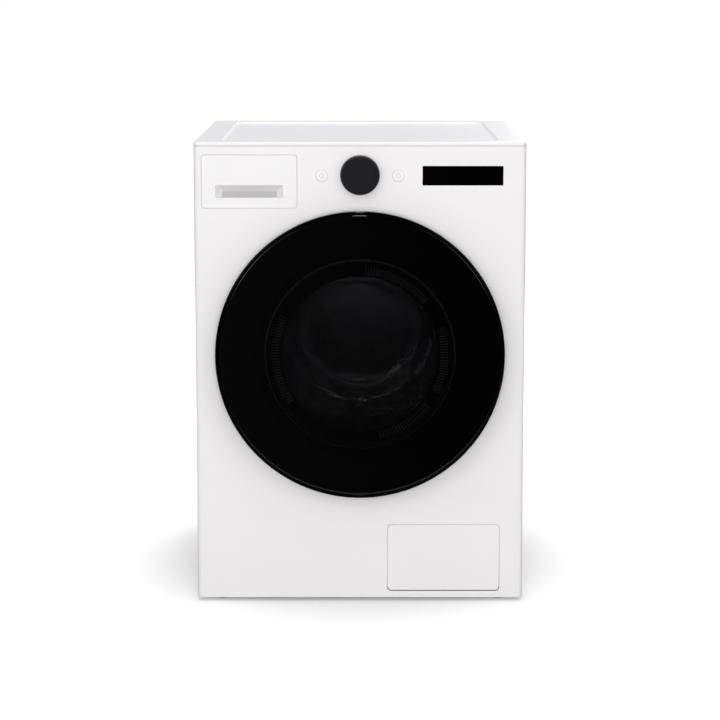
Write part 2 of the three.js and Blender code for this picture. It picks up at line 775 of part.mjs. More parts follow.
function tubRear() {
  const start = splitY + gap / 2;
  const inner = tubRadius - tubWall;
  const hubEnd = rearBearingY + rearBearing.width + 1;
  const step = frontBearing.outer - 8;
  const sumpX = [-sump.halfWidth, sump.halfWidth];
  const sumpY = [sump.front, sump.front + sump.length];
  const sumpTop = axisHeight - tubRadius + 20;
  let shell = turned([[0, start], [tubRadius, start], [tubRadius, tubRearY], [hubRadius, tubRearY],
    [hubRadius - 4, hubEnd], [0, hubEnd]]).add(box(sumpX, sumpY, [sump.bottom, sumpTop]));
  for (const side of [-1, 1]) {
    const x = [side * damperX - 12, side * damperX + 12];
    const lugTop = axisHeight - heightInTub(damperX + 12) + 6;
    shell = shell.add(box(x, [damperY - 12, damperY + 12], [damperTop, lugTop]));
  }
  shell = shell.add(prism(disc(sumpOutlet.x, sumpOutlet.y, hoseRadius), 'Z', sumpOutlet.bottom, sump.bottom + 1, 5));
  const room = turned([[0, start - past], [inner, start - past], [inner, tubRearY - tubWall],
    [hubRadius, tubRearY - tubWall], [hubRadius, hubFrontY], [0, hubFrontY]]);
  const bore = turned([
    [0, hubFrontY - past],
    [frontBearing.outer + gap, hubFrontY - past],
    [frontBearing.outer + gap, frontBearingY + frontBearing.width],
    [step, frontBearingY + frontBearing.width],
    [step, rearBearingY - gap],
    [rearBearing.outer + gap, rearBearingY - gap],
    [rearBearing.outer + gap, hubEnd + past],
    [0, hubEnd + past],
  ]);
  const wellX = sumpX.map((x) => x - Math.sign(x) * tubWall);
  const well = box(wellX, [sumpY[0] + tubWall, sumpY[1] - tubWall], [sump.bottom + tubWall, sumpTop + past]);
  const heaterSlot = box([-28.5, 28.5], [sumpY[0] - past, sumpY[0] + 5], [sump.bottom + 6.5, sump.bottom + 23.5]);
  const drain = prism(disc(sumpOutlet.x, sumpOutlet.y, hoseRadius - 3), 'Z', sumpOutlet.bottom - past, sump.bottom + 5, 5);
  return shell.subtract(room).subtract(bore).subtract(well).subtract(heaterSlot).subtract(drain);
}

function counterweight() {
  const y = [tubFrontY - gap - 34, tubFrontY - gap];
  const inner = mouthRadius + 19;
  const outer = tubRadius - 5;
  return turned([[inner, y[0]], [outer - 4, y[0]], [outer, y[0] + 4], [outer, y[1]], [inner, y[1]]]);
}

function heater() {
  const z = sump.bottom + 15;
  const start = sump.front + 2;
  const end = sump.front + sump.length - 18;
  const spread = 22;
  const path = new THREE.CatmullRomCurve3([
    new THREE.Vector3(-spread, start, z),
    new THREE.Vector3(-spread, end - 40, z),
    new THREE.Vector3(-spread * 0.75, end - 8, z),
    new THREE.Vector3(0, end, z),
    new THREE.Vector3(spread * 0.75, end - 8, z),
    new THREE.Vector3(spread, end - 40, z),
    new THREE.Vector3(spread, start, z),
  ], false, 'centripetal');
  const element = new THREE.ExtrudeGeometry(disc(0, 0, 3.6), { steps: 20, extrudePath: path, curveSegments: 3 });
  return solid(element).add(box([-28, 28], [sump.front - 6, sump.front + 8], [z - 8, z + 8]));
}

function drumShell() {
  const front = drumFrontY + drumWall / 2;
  const rear = drumRearY - drumWall / 2;
  return turned(wallProfile([
    [186, front + 8],
    [190, front],
    [drumRadius - 32, front],
    [drumRadius, front + 20],
    [drumRadius, rear - 9],
    [drumRadius - 12, rear],
    [120, rear],
    [100, rear - 5],
    [0, rear - 5],
  ], drumWall));
}

function drumSpider() {
  const face = drumRearY + gap;
  const thickness = 12;
  const shaftEnd = rearBearingY + rearBearing.width + 25;
  let spider = turned([
    [0, face],
    [hubRadius, face],
    [hubRadius, face + thickness],
    [18, face + thickness],
    [18, frontBearingY - gap],
    [frontBearing.inner, frontBearingY - gap],
    [frontBearing.inner, rearBearingY - 1],
    [rearBearing.inner, rearBearingY - 1],
    [rearBearing.inner, shaftEnd],
    [0, shaftEnd],
  ], { segments: smallSides });
  const arm = polygon([[-24, 0], [24, 0], [17, drumRadius - 14], [-17, drumRadius - 14]]);
  for (let i = 0; i < 3; i += 1) {
    const geometry = new THREE.ExtrudeGeometry(arm, { depth: thickness, bevelEnabled: false });
    geometry.rotateX(Math.PI / 2).rotateY((i * 2 + 1) * Math.PI / 3).translate(0, face + thickness, axisHeight);
    spider = spider.add(solid(geometry));
  }
  return spider;
}

function baffle() {
  const base = drumRadius - 3.5;
  const outline = new THREE.Shape();
  outline.moveTo(-28, -base);
  outline.lineTo(28, -base);
  outline.lineTo(13, -base + baffleHeight - 8);
  outline.quadraticCurveTo(0, -base + baffleHeight + 4, -13, -base + baffleHeight - 8);
  return prism(outline, 'Y', drumFrontY + 36, drumRearY - 30, 4);
}

function bearing({ inner, outer, width }, start) {
  const end = start + width - gap;
  return turned([[inner + gap, start], [outer, start], [outer, end], [inner + gap, end]], { segments: smallSides });
}

function stator() {
  const foot = tubRearY + gap;
  const rib = { inner: 70, outer: 82, height: 14 };
  return turned([
    [rib.inner, foot],
    [rib.outer, foot],
    [rib.outer, foot + rib.height],
    [statorRadius, foot + rib.height],
    [statorRadius, foot + 38],
    [rib.inner, foot + 38],
  ]);
}

function rotor() {
  const face = rearBearingY + rearBearing.width + 15;
  return turned([
    [rearBearing.inner + gap, face],
    [30, face],
    [30, face + 3],
    [rotorRadius - 8, face + 3],
    [rotorRadius - 8, tubRearY + 16],
    [rotorRadius, tubRearY + 16],
    [rotorRadius, face + 6],
    [30, face + 6],
    [30, face + 9],
    [rearBearing.inner + gap, face + 9],
  ]);
}

function spring(side) {
  const wire = 2.2;
  const low = springFoot + gap + wire;
  const path = new Helix(side * springX, springY, low, braceBottom - gap - wire - 0.5, 12, 5);
  return solid(new THREE.ExtrudeGeometry(disc(0, 0, wire), { steps: 42, extrudePath: path, curveSegments: 3 }));
}

const damperFloor = baseBottom + sheet + gap;

function damperCylinder(side) {
  return post([
    [0, damperFloor],
    [19, damperFloor],
    [19, damperFloor + 6],
    [15, damperFloor + 10],
    [15, damperTop - 105],
    [7, damperTop - 105],
    [7, damperTop - 205],
    [0, damperTop - 205],
  ], side * damperX, damperY);
}

function damperRod(side) {
  return post([
    [0, damperTop - 180],
    [6, damperTop - 180],
    [6, damperTop - 20],
    [11, damperTop - 15],
    [11, damperTop - gap],
    [0, damperTop - gap],
  ], side * damperX, damperY);
}

function pumpBody() {
  const back = pump.front + 125;
  const foot = baseBottom + sheet + gap;
  const inlet = prism(disc(pumpInlet.y, pump.z, hoseRadius), 'X', pumpInlet.x, pump.x - 30, 5);
  const outlet = prism(disc(pump.x, pumpOutlet.y, drainRadius), 'Z', pump.z + 25, pumpOutlet.top, 8);
  return barY(pump.x, pump.z, pumpRadius, pump.front, back, 16)
    .add(barY(pump.x, pump.z, pumpRadius - 8, back - 1, back + 65))
    .add(box([pump.x - 25, pump.x + 25], [pump.front + 10, back - 10], [foot, pump.z]))
    .add(inlet)
    .add(outlet)
    .subtract(barY(pump.x, pump.z, pumpRadius - 4, pump.front - past, pump.front + 65, 16))
    .subtract(barY(pump.x, pump.z, pumpRadius - 18, pump.front + 60, pump.front + 115))
    .subtract(prism(disc(pumpInlet.y, pump.z, hoseRadius - 3), 'X', pumpInlet.x - past, pump.x, 5))
    .subtract(prism(disc(pump.x, pumpOutlet.y, drainRadius - 3), 'Z', pump.z, pumpOutlet.top + past, 5));
}

function filterCap() {
  const flange = pump.front - 12;
  const plug = pumpRadius - 4 - 0.5;
  return turned([
    [0, flange],
    [plug + 3, flange],
    [plug + 3, pump.front - gap],
    [plug, pump.front - gap],
    [plug, pump.front + 15],
    [plug - 6, pump.front + 17],
    [plug - 6, pump.front + 58],
    [0, pump.front + 58],
  ], { x: pump.x, z: pump.z, segments: smallSides })
    .add(box([pump.x - 28, pump.x + 28], [flange - 4, flange + 1], [pump.z - 5, pump.z + 5]));
}

function filterFlap() {
  const outline = roundedRect(flapLeft + cutLine, flapLeft + flapWidth - cutLine,
    flapBottom + cutLine, flapBottom + flapHeight - cutLine, 10 - cutLine);
  return prism(outline, 'Y', frontY, frontY + 2.4, 4);
}

function sumpHose() {
  return hose([
    [sumpOutlet.x, sumpOutlet.y, sumpOutlet.bottom - gap],
    [sumpOutlet.x, sumpOutlet.y, sumpOutlet.bottom - 25],
    [sumpOutlet.x + 4, sumpOutlet.y - 70, 120],
    [pumpInlet.x - 70, pumpInlet.y + 150, pump.z + 2],
    [pumpInlet.x - 55, pumpInlet.y + 40, pump.z],
    [pumpInlet.x - 30, pumpInlet.y, pump.z],
    [pumpInlet.x - gap, pumpInlet.y, pump.z],
  ], hoseRadius, 3, 14);
}

function drainHose() {
  const run = drainPort.x + 2;
  return hose([
    [pump.x, pumpOutlet.y, pumpOutlet.top + gap],
    [pump.x, pumpOutlet.y, pumpOutlet.top + 20],
    [run - 70, pumpOutlet.y + 60, 195],
    [run, pumpOutlet.y + 150, 200],
    [run, rearY - 180, 215],
    [run, rearY - 75, 280],
    [run, rearY - 62, 400],
    [run, rearY - 62, drainPort.z - 60],
    [drainPort.x, rearY - 40, drainPort.z],
    [drainPort.x, rearY - 20 - gap, drainPort.z],
  ], drainRadius, 2.5, 22);
}

function drainOutlet() {
  const flange = [rearY - sheet - gap - 4, rearY - sheet - gap];
  return turned([
    [7, rearY - 20],
    [drainRadius, rearY - 20],
    [14, flange[0] - 6],
    [14, flange[0]],
    [17, flange[0]],
    [17, flange[1]],
    [14, flange[1]],
    [14, rearY + spigotProud],
    [10, rearY + spigotProud],
    [10, flange[0]],
  ], { x: drainPort.x, z: drainPort.z, segments: smallSides });
}

function inletValve() {
  const back = rearY - sheet - gap;
  const outletY = back - 88;
  const x = [valve.x - 60, valve.x + 60];
  let body = box(x, [back - 68, back], [valve.z - 20, valve.z + 20])
    .add(barY(valve.x, valve.z, 9, outletY, back - 67, 5))
    .subtract(barY(valve.x, valve.z, 6, outletY - past, back - 40, 5));
  for (const side of [-1, 1]) {
    body = body
      .add(barY(valve.x + side * valve.spread, valve.z, 13, back - 1, rearY + spigotProud))
      .subtract(barY(valve.x + side * valve.spread, valve.z, 9, rearY - 15, rearY + spigotProud + past));
  }
  return body;
}

function fillHose() {
  const start = rearY - sheet - gap - 88;
  const end = housing.rear + 20;
  return hose([
    [valve.x, start - gap, valve.z],
    [valve.x, start - 60, valve.z],
    [valve.x - 3, (start + end) / 2, valve.z - 10],
    [valve.x, end + 50, valve.z + 5],
    [valve.x, end + gap, valve.z + 5],
  ], 9, 2.5, 8);
}

function powerGland() {
  return turned([
    [4.5, rearY - 9],
    [9.5, rearY - 9],
    [9.5, rearY + gap],
    [15, rearY + gap],
    [15, rearY + 3],
    [10, rearY + 3],
    [9, rearY + 9],
    [4.5, rearY + 9],
  ], { x: gland.x, z: gland.z, segments: smallSides });
}

function mainBoardBox() {
  const outer = [[insideX - 148, insideX], [80, 290], [cabinetHeight - 130, cabinetHeight - 60]];
  const inner = [[insideX - 146, insideX - 2], [82, 288], [cabinetHeight - 128, cabinetHeight - 59]];
  return box(...outer).subtract(box(...inner));
}

piece('front_panel', enamel, frontPanel());
piece('left_side_panel', enamel, sidePanel(-1));
piece('right_side_panel', enamel, sidePanel(1));
piece('rear_panel', galvanised, rearPanel());
piece('rear_service_cover', galvanised, rearServiceCover());
piece('top_cover', enamel, topCover());
piece('base_pan', galvanised, basePan());
piece('cross_brace', galvanised, crossBrace());
for (const place of footPlaces) piece(`${place.name}_foot`, rubber, foot(place));

piece('display_window', darkGlass, displayWindow());
piece('control_board', boardGreen, controlBoard());
piece('control_housing', whitePlastic, controlHousing());
piece('dial_knob', charcoal, dialKnob());
piece('power_button', whitePlastic, pushButton(-1));
piece('start_button', whitePlastic, pushButton(1));
piece('main_board_box', blackPlastic, mainBoardBox());

piece('drawer_front', whitePlastic, drawerFront());
piece('drawer_tray', bluePlastic, drawerTray());
piece('drawer_housing', greyPlastic, drawerHousing());

piece('door_glass', darkGlass, doorGlass());
piece('door_frame', charcoal, doorFrame());
piece('door_inner_ring', blackPlastic, doorInnerRing());
piece('door_bowl', clearGlass, doorBowl());
piece('latch_hook', castAluminium, latchHook());
piece('hinge_bracket', castAluminium, hingeBracket());
piece('hinge_leaf', castAluminium, hingeLeaf());
piece('hinge_pin', steel, hingePin());
piece('door_lock', blackPlastic, doorLock());
piece('door_gasket', rubber, doorGasket());

piece('tub_front', tubPlastic, tubFront());
piece('tub_rear', tubPlastic, tubRear());
piece('front_counterweight', concrete, counterweight());
piece('heater', steel, heater());
piece('front_bearing', steel, bearing(frontBearing, frontBearingY));
piece('rear_bearing', steel, bearing(rearBearing, rearBearingY));
piece('stator', copper, stator());

piece('drum_shell', steel, drumShell());
piece('drum_spider', castAluminium, drumSpider());
piece('rotor', galvanised, rotor());
const drumCentre = new THREE.Group();
drumCentre.position.z = axisHeight;
['bottom', 'left', 'right'].forEach((place, i) => {
  const lifter = meshOf(`${place}_baffle`, greyPlastic, baffle());
  lifter.rotation.y = (i * 2 * Math.PI) / 3;
  drumCentre.add(lifter);
});
machine.add(drumCentre);

for (const [side, word] of [[-1, 'left'], [1, 'right']]) {
  piece(`${word}_spring`, steel, spring(side));
  piece(`${word}_damper_cylinder`, greyPlastic, damperCylinder(side));
  piece(`${word}_damper_rod`, steel, damperRod(side));
}

piece('pump_body', greyPlastic, pumpBody());
piece('filter_cap', greyPlastic, filterCap());
piece('filter_flap', enamel, filterFlap());
piece('sump_hose', rubber, sumpHose());
piece('drain_hose', greyPlastic, drainHose());
piece('drain_outlet', blackPlastic, drainOutlet());
piece('inlet_valve', whitePlastic, inletValve());
piece('fill_hose', rubber, fillHose());
piece('power_gland', blackPlastic, powerGland());

export default machine;
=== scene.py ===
"""Looks of a front load washing machine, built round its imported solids.

Lengths are in millimetres until a mesh is made.
"""

import math

import bmesh
import bpy
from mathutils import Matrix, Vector


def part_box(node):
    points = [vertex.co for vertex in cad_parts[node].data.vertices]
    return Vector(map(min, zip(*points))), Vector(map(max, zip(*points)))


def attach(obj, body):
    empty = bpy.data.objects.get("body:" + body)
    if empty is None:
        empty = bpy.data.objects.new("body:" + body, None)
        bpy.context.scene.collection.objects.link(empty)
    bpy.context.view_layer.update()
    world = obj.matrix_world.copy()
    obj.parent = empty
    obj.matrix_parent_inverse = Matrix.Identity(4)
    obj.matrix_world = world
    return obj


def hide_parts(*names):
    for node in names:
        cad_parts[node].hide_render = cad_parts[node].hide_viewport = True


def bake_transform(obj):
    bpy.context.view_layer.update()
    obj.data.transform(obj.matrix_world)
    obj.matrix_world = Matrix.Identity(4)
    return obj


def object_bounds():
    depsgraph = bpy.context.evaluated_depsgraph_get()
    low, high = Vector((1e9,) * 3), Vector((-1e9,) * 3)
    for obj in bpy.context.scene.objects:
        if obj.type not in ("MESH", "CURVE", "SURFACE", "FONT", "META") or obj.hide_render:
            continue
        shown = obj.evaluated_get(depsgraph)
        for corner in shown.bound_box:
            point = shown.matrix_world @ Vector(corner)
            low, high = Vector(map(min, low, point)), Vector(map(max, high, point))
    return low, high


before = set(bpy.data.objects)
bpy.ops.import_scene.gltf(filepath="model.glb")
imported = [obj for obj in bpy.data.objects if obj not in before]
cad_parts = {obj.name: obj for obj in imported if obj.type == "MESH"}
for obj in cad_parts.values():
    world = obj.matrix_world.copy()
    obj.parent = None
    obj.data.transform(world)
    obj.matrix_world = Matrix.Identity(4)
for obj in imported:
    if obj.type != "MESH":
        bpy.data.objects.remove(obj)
cad_low, cad_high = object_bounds()
scene = bpy.context.scene

MM = 0.001
TURN = 2 * math.pi
ROUND_SIDES = 128
AXIS_Z = 542.0
AXIS = (0.0, 0.0, AXIS_Z * MM)
FRONT_Y = -370.0
DOOR_Y = -415.0


def edges_of(node):
    """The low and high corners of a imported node, in millimetres."""
    low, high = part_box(node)
    return low / MM, high / MM


# ---------------------------------------------------------------- camera, stage and light


def aimed(obj, place, target):
    obj.location = place
    obj.rotation_euler = (Vector(target) - Vector(place)).to_track_quat("-Z", "Y").to_euler()
    scene.collection.objects.link(obj)
    return obj


camera_data = bpy.data.cameras.new("studio_camera")
camera_data.lens = 119.0
camera_data.sensor_width = 36.0
camera = bpy.data.objects.new("studio_camera", camera_data)
scene.camera = aimed(camera, (0.0, -5.370, 1.3225), (0.0, -0.370, 0.527))
scene.view_settings.view_transform = "Standard"


def put(tree, kind, inputs=None, **settings):
    """Adds a node, sets its properties, then fills or links its inputs."""
    node = tree.nodes.new(kind)
    for key, value in settings.items():
        setattr(node, key, value)
    for key, value in (inputs or {}).items():
        if isinstance(value, bpy.types.NodeSocket):
            tree.links.new(value, node.inputs[key])
        else:
            node.inputs[key].default_value = value
    return node


def calc(tree, operation, *values):
    """One step of arithmetic on numbers."""
    return put(tree, "ShaderNodeMath", dict(enumerate(values)), operation=operation).outputs[0]


def calc_arrow(tree, operation, *values):
    """One step of arithmetic on arrows. A distance or a length comes out as a number."""
    node = put(tree, "ShaderNodeVectorMath", dict(enumerate(values)), operation=operation)
    return node.outputs["Value" if operation in ("DISTANCE", "LENGTH") else "Vector"]


def ranged(tree, value, start, end, low, high):
    """A value between start and end, stretched to run from low to high."""
    settings = {"Value": value, "From Min": start, "From Max": end, "To Min": low, "To Max": high}
    return put(tree, "ShaderNodeMapRange", settings).outputs["Result"]


def build_world():
    """White to the eye, soft grey as a fill, and dim in reflections, so that black glass stays black."""
    world = bpy.data.worlds.new("studio_world")
    world.use_nodes = True
    tree = world.node_tree
    tree.nodes.clear()

    def background(colour, strength):
        settings = {"Color": (*colour, 1.0), "Strength": strength}
        return put(tree, "ShaderNodeBackground", settings).outputs[0]

    def chosen(ray, otherwise, when):
        return put(tree, "ShaderNodeMixShader", {0: ray, 1: otherwise, 2: when}).outputs[0]

    path = put(tree, "ShaderNodeLightPath").outputs
    way = put(tree, "ShaderNodeTexCoord").outputs["Generated"]
    parts = put(tree, "ShaderNodeSeparateXYZ", {0: way}).outputs
    sideways = ranged(tree, parts["X"], -0.09, 0.05, MIRRORED_LEFT, MIRRORED_RIGHT)
    behind = ranged(tree, parts["Y"], 0.35, 0.85, 0.0, MIRRORED_BEHIND)
    fill = background((1.0, 0.995, 1.0), FILL_LIGHT)
    mirrored = background((0.9, 0.91, 1.0), calc(tree, "ADD", sideways, behind))
    glossy = chosen(path["Is Glossy Ray"], fill, mirrored)
    seen = background((1.0, 1.0, 1.0), SEEN_LIGHT)
    put(tree, "ShaderNodeOutputWorld", {"Surface": chosen(path["Is Camera Ray"], glossy, seen)})
    scene.world = world


def soft_box(name, place, target, width, height, power):
    data = bpy.data.lights.new(name, "AREA")
    data.shape = "RECTANGLE"
    data.size = width
    data.size_y = height
    data.energy = power
    lamp = aimed(bpy.data.objects.new(name, data), place, target)
    lamp.visible_camera = False
    return lamp


SEEN_LIGHT = 1.02
FILL_LIGHT = 0.43
MIRRORED_LEFT = 0.055
MIRRORED_RIGHT = 0.004
MIRRORED_BEHIND = 0.7
build_world()
soft_box("left_box", (-2.5, -4.1, 2.3), (0.0, -0.37, 0.75), 2.0, 2.6, 30.0)
soft_box("right_box", (2.5, -4.1, 2.3), (0.0, -0.37, 0.75), 2.0, 2.6, 20.0)
soft_box("front_box", (0.0, -5.8, 1.1), (0.0, -0.37, 0.5), 2.2, 1.8, 126.0).visible_glossy = False
soft_box("top_box", (0.0, 0.3, 3.6), (0.0, 0.1, 0.9), 2.4, 2.4, 38.0)
soft_box("centre_strip", (0.0, -2.9, 3.05), (0.0, -0.37, 0.54), 0.2, 3.4, 10.0)
soft_box("rear_box", (1.6, 3.6, 2.2), (0.0, 0.4, 0.5), 2.2, 2.2, 40.0)


def build_floor():
    data = bpy.data.meshes.new("floor")
    data.from_pydata([(-4, -1.25, 0), (4, -1.25, 0), (4, 5, 0), (-4, 5, 0)], [], [(0, 1, 2, 3)])
    floor = bpy.data.objects.new("floor", data)
    scene.collection.objects.link(floor)
    material = bpy.data.materials.new("pale_floor")
    material.use_nodes = True
    tree = material.node_tree
    shader = tree.nodes["Principled BSDF"].inputs
    shader["Roughness"].default_value = 0.9
    shader["Specular IOR Level"].default_value = 0.0
    shader["Emission Color"].default_value = (1.0, 1.0, 1.0, 1.0)
    direct = put(tree, "ShaderNodeLightPath").outputs["Is Camera Ray"]
    # For the camera the floor glows, and the glow falls off towards the cabinet: a painted contact shadow
    # round it.
    spot = put(tree, "ShaderNodeTexCoord").outputs["Object"]
    away = calc_arrow(tree, "LENGTH", calc_arrow(tree, "MULTIPLY", spot, (1.0, 0.86, 0.0)))
    painted_shadow_glow = ranged(tree, away, 0.36, 0.95, 0.22, 1.0)
    tree.links.new(ranged(tree, direct, 0.0, 1.0, 0.42, 0.8), shader["Base Color"])
    tree.links.new(ranged(tree, direct, 0.0, 1.0, 0.05, painted_shadow_glow), shader["Emission Strength"])
    data.materials.append(material)


build_floor()

# ---------------------------------------------------------------- finishes

COLOUR = "NodeSocketColor"
NUMBER = "NodeSocketFloat"
ARROW = "NodeSocketVector"
WHOLE = "NodeSocketInt"


SKIN = {"Tone": COLOUR, "Sheen": NUMBER, "Relief": NUMBER}
ANY_TONE = (1.0, 1.0, 1.0, 1.0)


def shader_group(name, settings, outputs=SKIN):
    """A group with an input for each setting, whose default also shows its kind."""
    group = bpy.data.node_groups.new(name, "ShaderNodeTree")
    for label, value in {"Position": (0.0, 0.0, 0.0), **settings}.items():
        kind = {3: ARROW, 4: COLOUR}[len(value)] if isinstance(value, tuple) else NUMBER
        socket = group.interface.new_socket(label, in_out="INPUT", socket_type=kind)
        socket.default_value = value
    for label, kind in outputs.items():
        group.interface.new_socket(label, in_out="OUTPUT", socket_type=kind)
    return group, put(group, "NodeGroupInput").outputs, put(group, "NodeGroupOutput")


def leave(group, exit_node, values):
    for label, socket in values.items():
        group.links.new(socket, exit_node.inputs[label])


def noise(tree, position, size, detail=3.0, roughness=0.55):
    """Noise whose features are about size metres across."""
    settings = {"Vector": position, "Scale": calc(tree, "DIVIDE", 1.0, size), "Detail": detail,
                "Roughness": roughness}
    return put(tree, "ShaderNodeTexNoise", settings).outputs["Fac"]


def cells(tree, position, size, **settings):
    """Cells about size metres across."""
    scale = calc(tree, "DIVIDE", 1.0, size)
    return put(tree, "ShaderNodeTexVoronoi", {"Vector": position, "Scale": scale}, **settings).outputs


def times(tree, colour, value):
    """A colour made lighter or darker by a value near 1."""
    return put(tree, "ShaderNodeHueSaturation", {"Color": colour, "Value": value}).outputs["Color"]


def about(tree, centre, swing, value):
    """centre plus swing times (value - 0.5)."""
    return calc(tree, "MULTIPLY_ADD", calc(tree, "SUBTRACT", value, 0.5), swing, centre)


def drifted(tree, colour, swing, value):
    """A colour made lighter and darker by swing, as the value goes up and down."""
    return times(tree, colour, about(tree, 1.0, swing, value))


def mixed(tree, share, one, other):
    """A colour between one and other."""
    return put(tree, "ShaderNodeMix", {0: share, 6: one, 7: other}, data_type="RGBA").outputs[2]


def uneven_finish():
    """Broad drift of tone and sheen, with a fine grain: paint, moulded plastic, rubber."""
    group, given, out = shader_group("uneven_finish", {
        "Tone": ANY_TONE, "Patch Size": 0.12, "Patch Drift": 0.03, "Grain Size": 0.0012,
        "Grain Drift": 0.02, "Sheen": 0.4, "Sheen Drift": 0.06})
    patches = noise(group, given["Position"], given["Patch Size"], 4.0)
    grain = noise(group, given["Position"], given["Grain Size"], 2.0)
    patchy = drifted(group, given["Tone"], given["Patch Drift"], patches)
    toned = drifted(group, patchy, given["Grain Drift"], grain)
    sheen = about(group, given["Sheen"], given["Sheen Drift"], patches)
    sheen = about(group, sheen, given["Sheen Drift"], grain)
    leave(group, out, {"Tone": toned, "Sheen": sheen, "Relief": grain})
    return group


def zinc_spangle():
    """The flakes of hot dipped zinc on sheet steel."""
    group, given, out = shader_group("zinc_spangle", {
        "Tone": ANY_TONE, "Flake Size": 0.007, "Contrast": 0.35, "Sheen": 0.42, "Sheen Drift": 0.2})
    cloud = noise(group, given["Position"], 0.02, 2.0)
    flakes = cells(group, given["Position"], given["Flake Size"])
    value = put(group, "ShaderNodeSeparateColor", {"Color": flakes["Color"]}).outputs[0]
    flaky = calc(group, "SUBTRACT", calc(group, "MULTIPLY_ADD", value, cloud, 0.5), 0.3)
    toned = drifted(group, given["Tone"], given["Contrast"], flaky)
    sheen = about(group, given["Sheen"], given["Sheen Drift"], flaky)
    leave(group, out, {"Tone": toned, "Sheen": sheen, "Relief": flakes["Distance"]})
    return group


def brushed_lines():
    """Fine lines left by brushing or rolling, long in one direction."""
    group, given, out = shader_group("brushed_lines", {
        "Tone": ANY_TONE, "Stretch": (1.0, 1.0, 0.03), "Line Size": 0.0012, "Contrast": 0.12,
        "Sheen": 0.28, "Sheen Drift": 0.15})
    long_way = calc_arrow(group, "MULTIPLY", given["Position"], given["Stretch"])
    lines = noise(group, long_way, given["Line Size"], 3.0, 0.7)
    cloudy = noise(group, given["Position"], 0.06, 3.0)
    lined = drifted(group, given["Tone"], given["Contrast"], lines)
    sheen = about(group, given["Sheen"], given["Sheen Drift"], lines)
    leave(group, out, {"Tone": drifted(group, lined, 0.08, cloudy),
                       "Sheen": about(group, sheen, 0.06, cloudy), "Relief": lines})
    return group


def cast_grit():
    """The sandy skin and small pores of castings and concrete."""
    group, given, out = shader_group("cast_grit", {
        "Tone": ANY_TONE, "Grit Size": 0.0015, "Pore Size": 0.006, "Contrast": 0.25, "Sheen": 0.6,
        "Sheen Drift": 0.1})
    sand = noise(group, given["Position"], given["Grit Size"], 5.0, 0.65)
    holes = cells(group, given["Position"], given["Pore Size"])["Distance"]
    pores = ranged(group, holes, 0.08, 0.2, 0.0, 1.0)
    stains = noise(group, given["Position"], 0.05, 4.0)
    toned = drifted(group, given["Tone"], given["Contrast"], sand)
    toned = drifted(group, toned, given["Contrast"], stains)
    # The pores are drawn darker: painted shade in the hollows.
    toned = times(group, toned, ranged(group, pores, 0.0, 1.0, 0.72, 1.0))
    sheen = about(group, given["Sheen"], given["Sheen Drift"], sand)
    height = calc(group, "MULTIPLY_ADD", sand, 0.35, pores)
    leave(group, out, {"Tone": toned, "Sheen": sheen, "Relief": height})
    return group


def settled_dust():
    """A thin film of dust that lies on faces that look up."""
    group, given, out = shader_group("settled_dust", {
        "Tone": ANY_TONE, "Sheen": 0.4, "Dust Tone": (0.42, 0.40, 0.37, 1.0), "Amount": 0.25},
        {"Tone": COLOUR, "Sheen": NUMBER})
    facing = put(group, "ShaderNodeNewGeometry").outputs["Normal"]
    up = put(group, "ShaderNodeSeparateXYZ", {0: facing}).outputs["Z"]
    cloud = noise(group, given["Position"], 0.03, 5.0)
    cover = calc(group, "MULTIPLY", ranged(group, up, 0.2, 1.0, 0.0, 1.0), cloud)
    cover = calc(group, "MULTIPLY", cover, given["Amount"])
    leave(group, out, {"Tone": mixed(group, cover, given["Tone"], given["Dust Tone"]),
                       "Sheen": calc(group, "MULTIPLY_ADD", cover, 0.4, given["Sheen"])})
    return group


def glass_film():
    """Faint wiping marks: the sheen of glass is never quite even."""
    group, given, out = shader_group("glass_film", {"Sheen": 0.03, "Film": 0.03}, {"Sheen": NUMBER})
    stretch = calc_arrow(group, "MULTIPLY", given["Position"], (0.35, 1.0, 1.0))
    wipes = noise(group, stretch, 0.11, 5.0, 0.6)
    leave(group, out, {"Sheen": about(group, given["Sheen"], given["Film"], wipes)})
    return group


def printed_tracks():
    """The copper tracks and pads of a circuit board under green varnish."""
    group, given, out = shader_group("printed_tracks", {
        "Board Tone": ANY_TONE, "Track Tone": ANY_TONE, "Track Size": 0.004})
    near = cells(group, given["Position"], given["Track Size"], distance="MANHATTAN")["Distance"]
    lines = ranged(group, near, 0.3, 0.36, 1.0, 0.0)
    leave(group, out, {"Tone": mixed(group, lines, given["Board Tone"], given["Track Tone"]),
                       "Sheen": ranged(group, lines, 0.0, 1.0, 0.32, 0.5), "Relief": lines})
    return group


def wound_wire():
    """The turns of enamelled wire on a coil."""
    group, given, out = shader_group("wound_wire", {"Tone": ANY_TONE, "Wire Size": 0.0011})
    scale = calc(group, "DIVIDE", 0.16, given["Wire Size"])
    settings = {"Vector": given["Position"], "Scale": scale, "Distortion": 0.3}
    wires = put(group, "ShaderNodeTexWave", settings, wave_type="BANDS",
                bands_direction="Y").outputs["Fac"]
    # Each turn is drawn lighter and the grooves between turns darker: a painted highlight and painted
    # shade, over the bumps of the turns.
    toned = times(group, given["Tone"], ranged(group, wires, 0.0, 1.0, 0.6, 1.12))
    leave(group, out, {"Tone": toned, "Sheen": ranged(group, wires, 0.0, 1.0, 0.5, 0.28), "Relief": wires})
    return group


uneven = uneven_finish()
spangle = zinc_spangle()
brushed = brushed_lines()
grit = cast_grit()
dust = settled_dust()
film = glass_film()
tracks = printed_tracks()
winding = wound_wire()


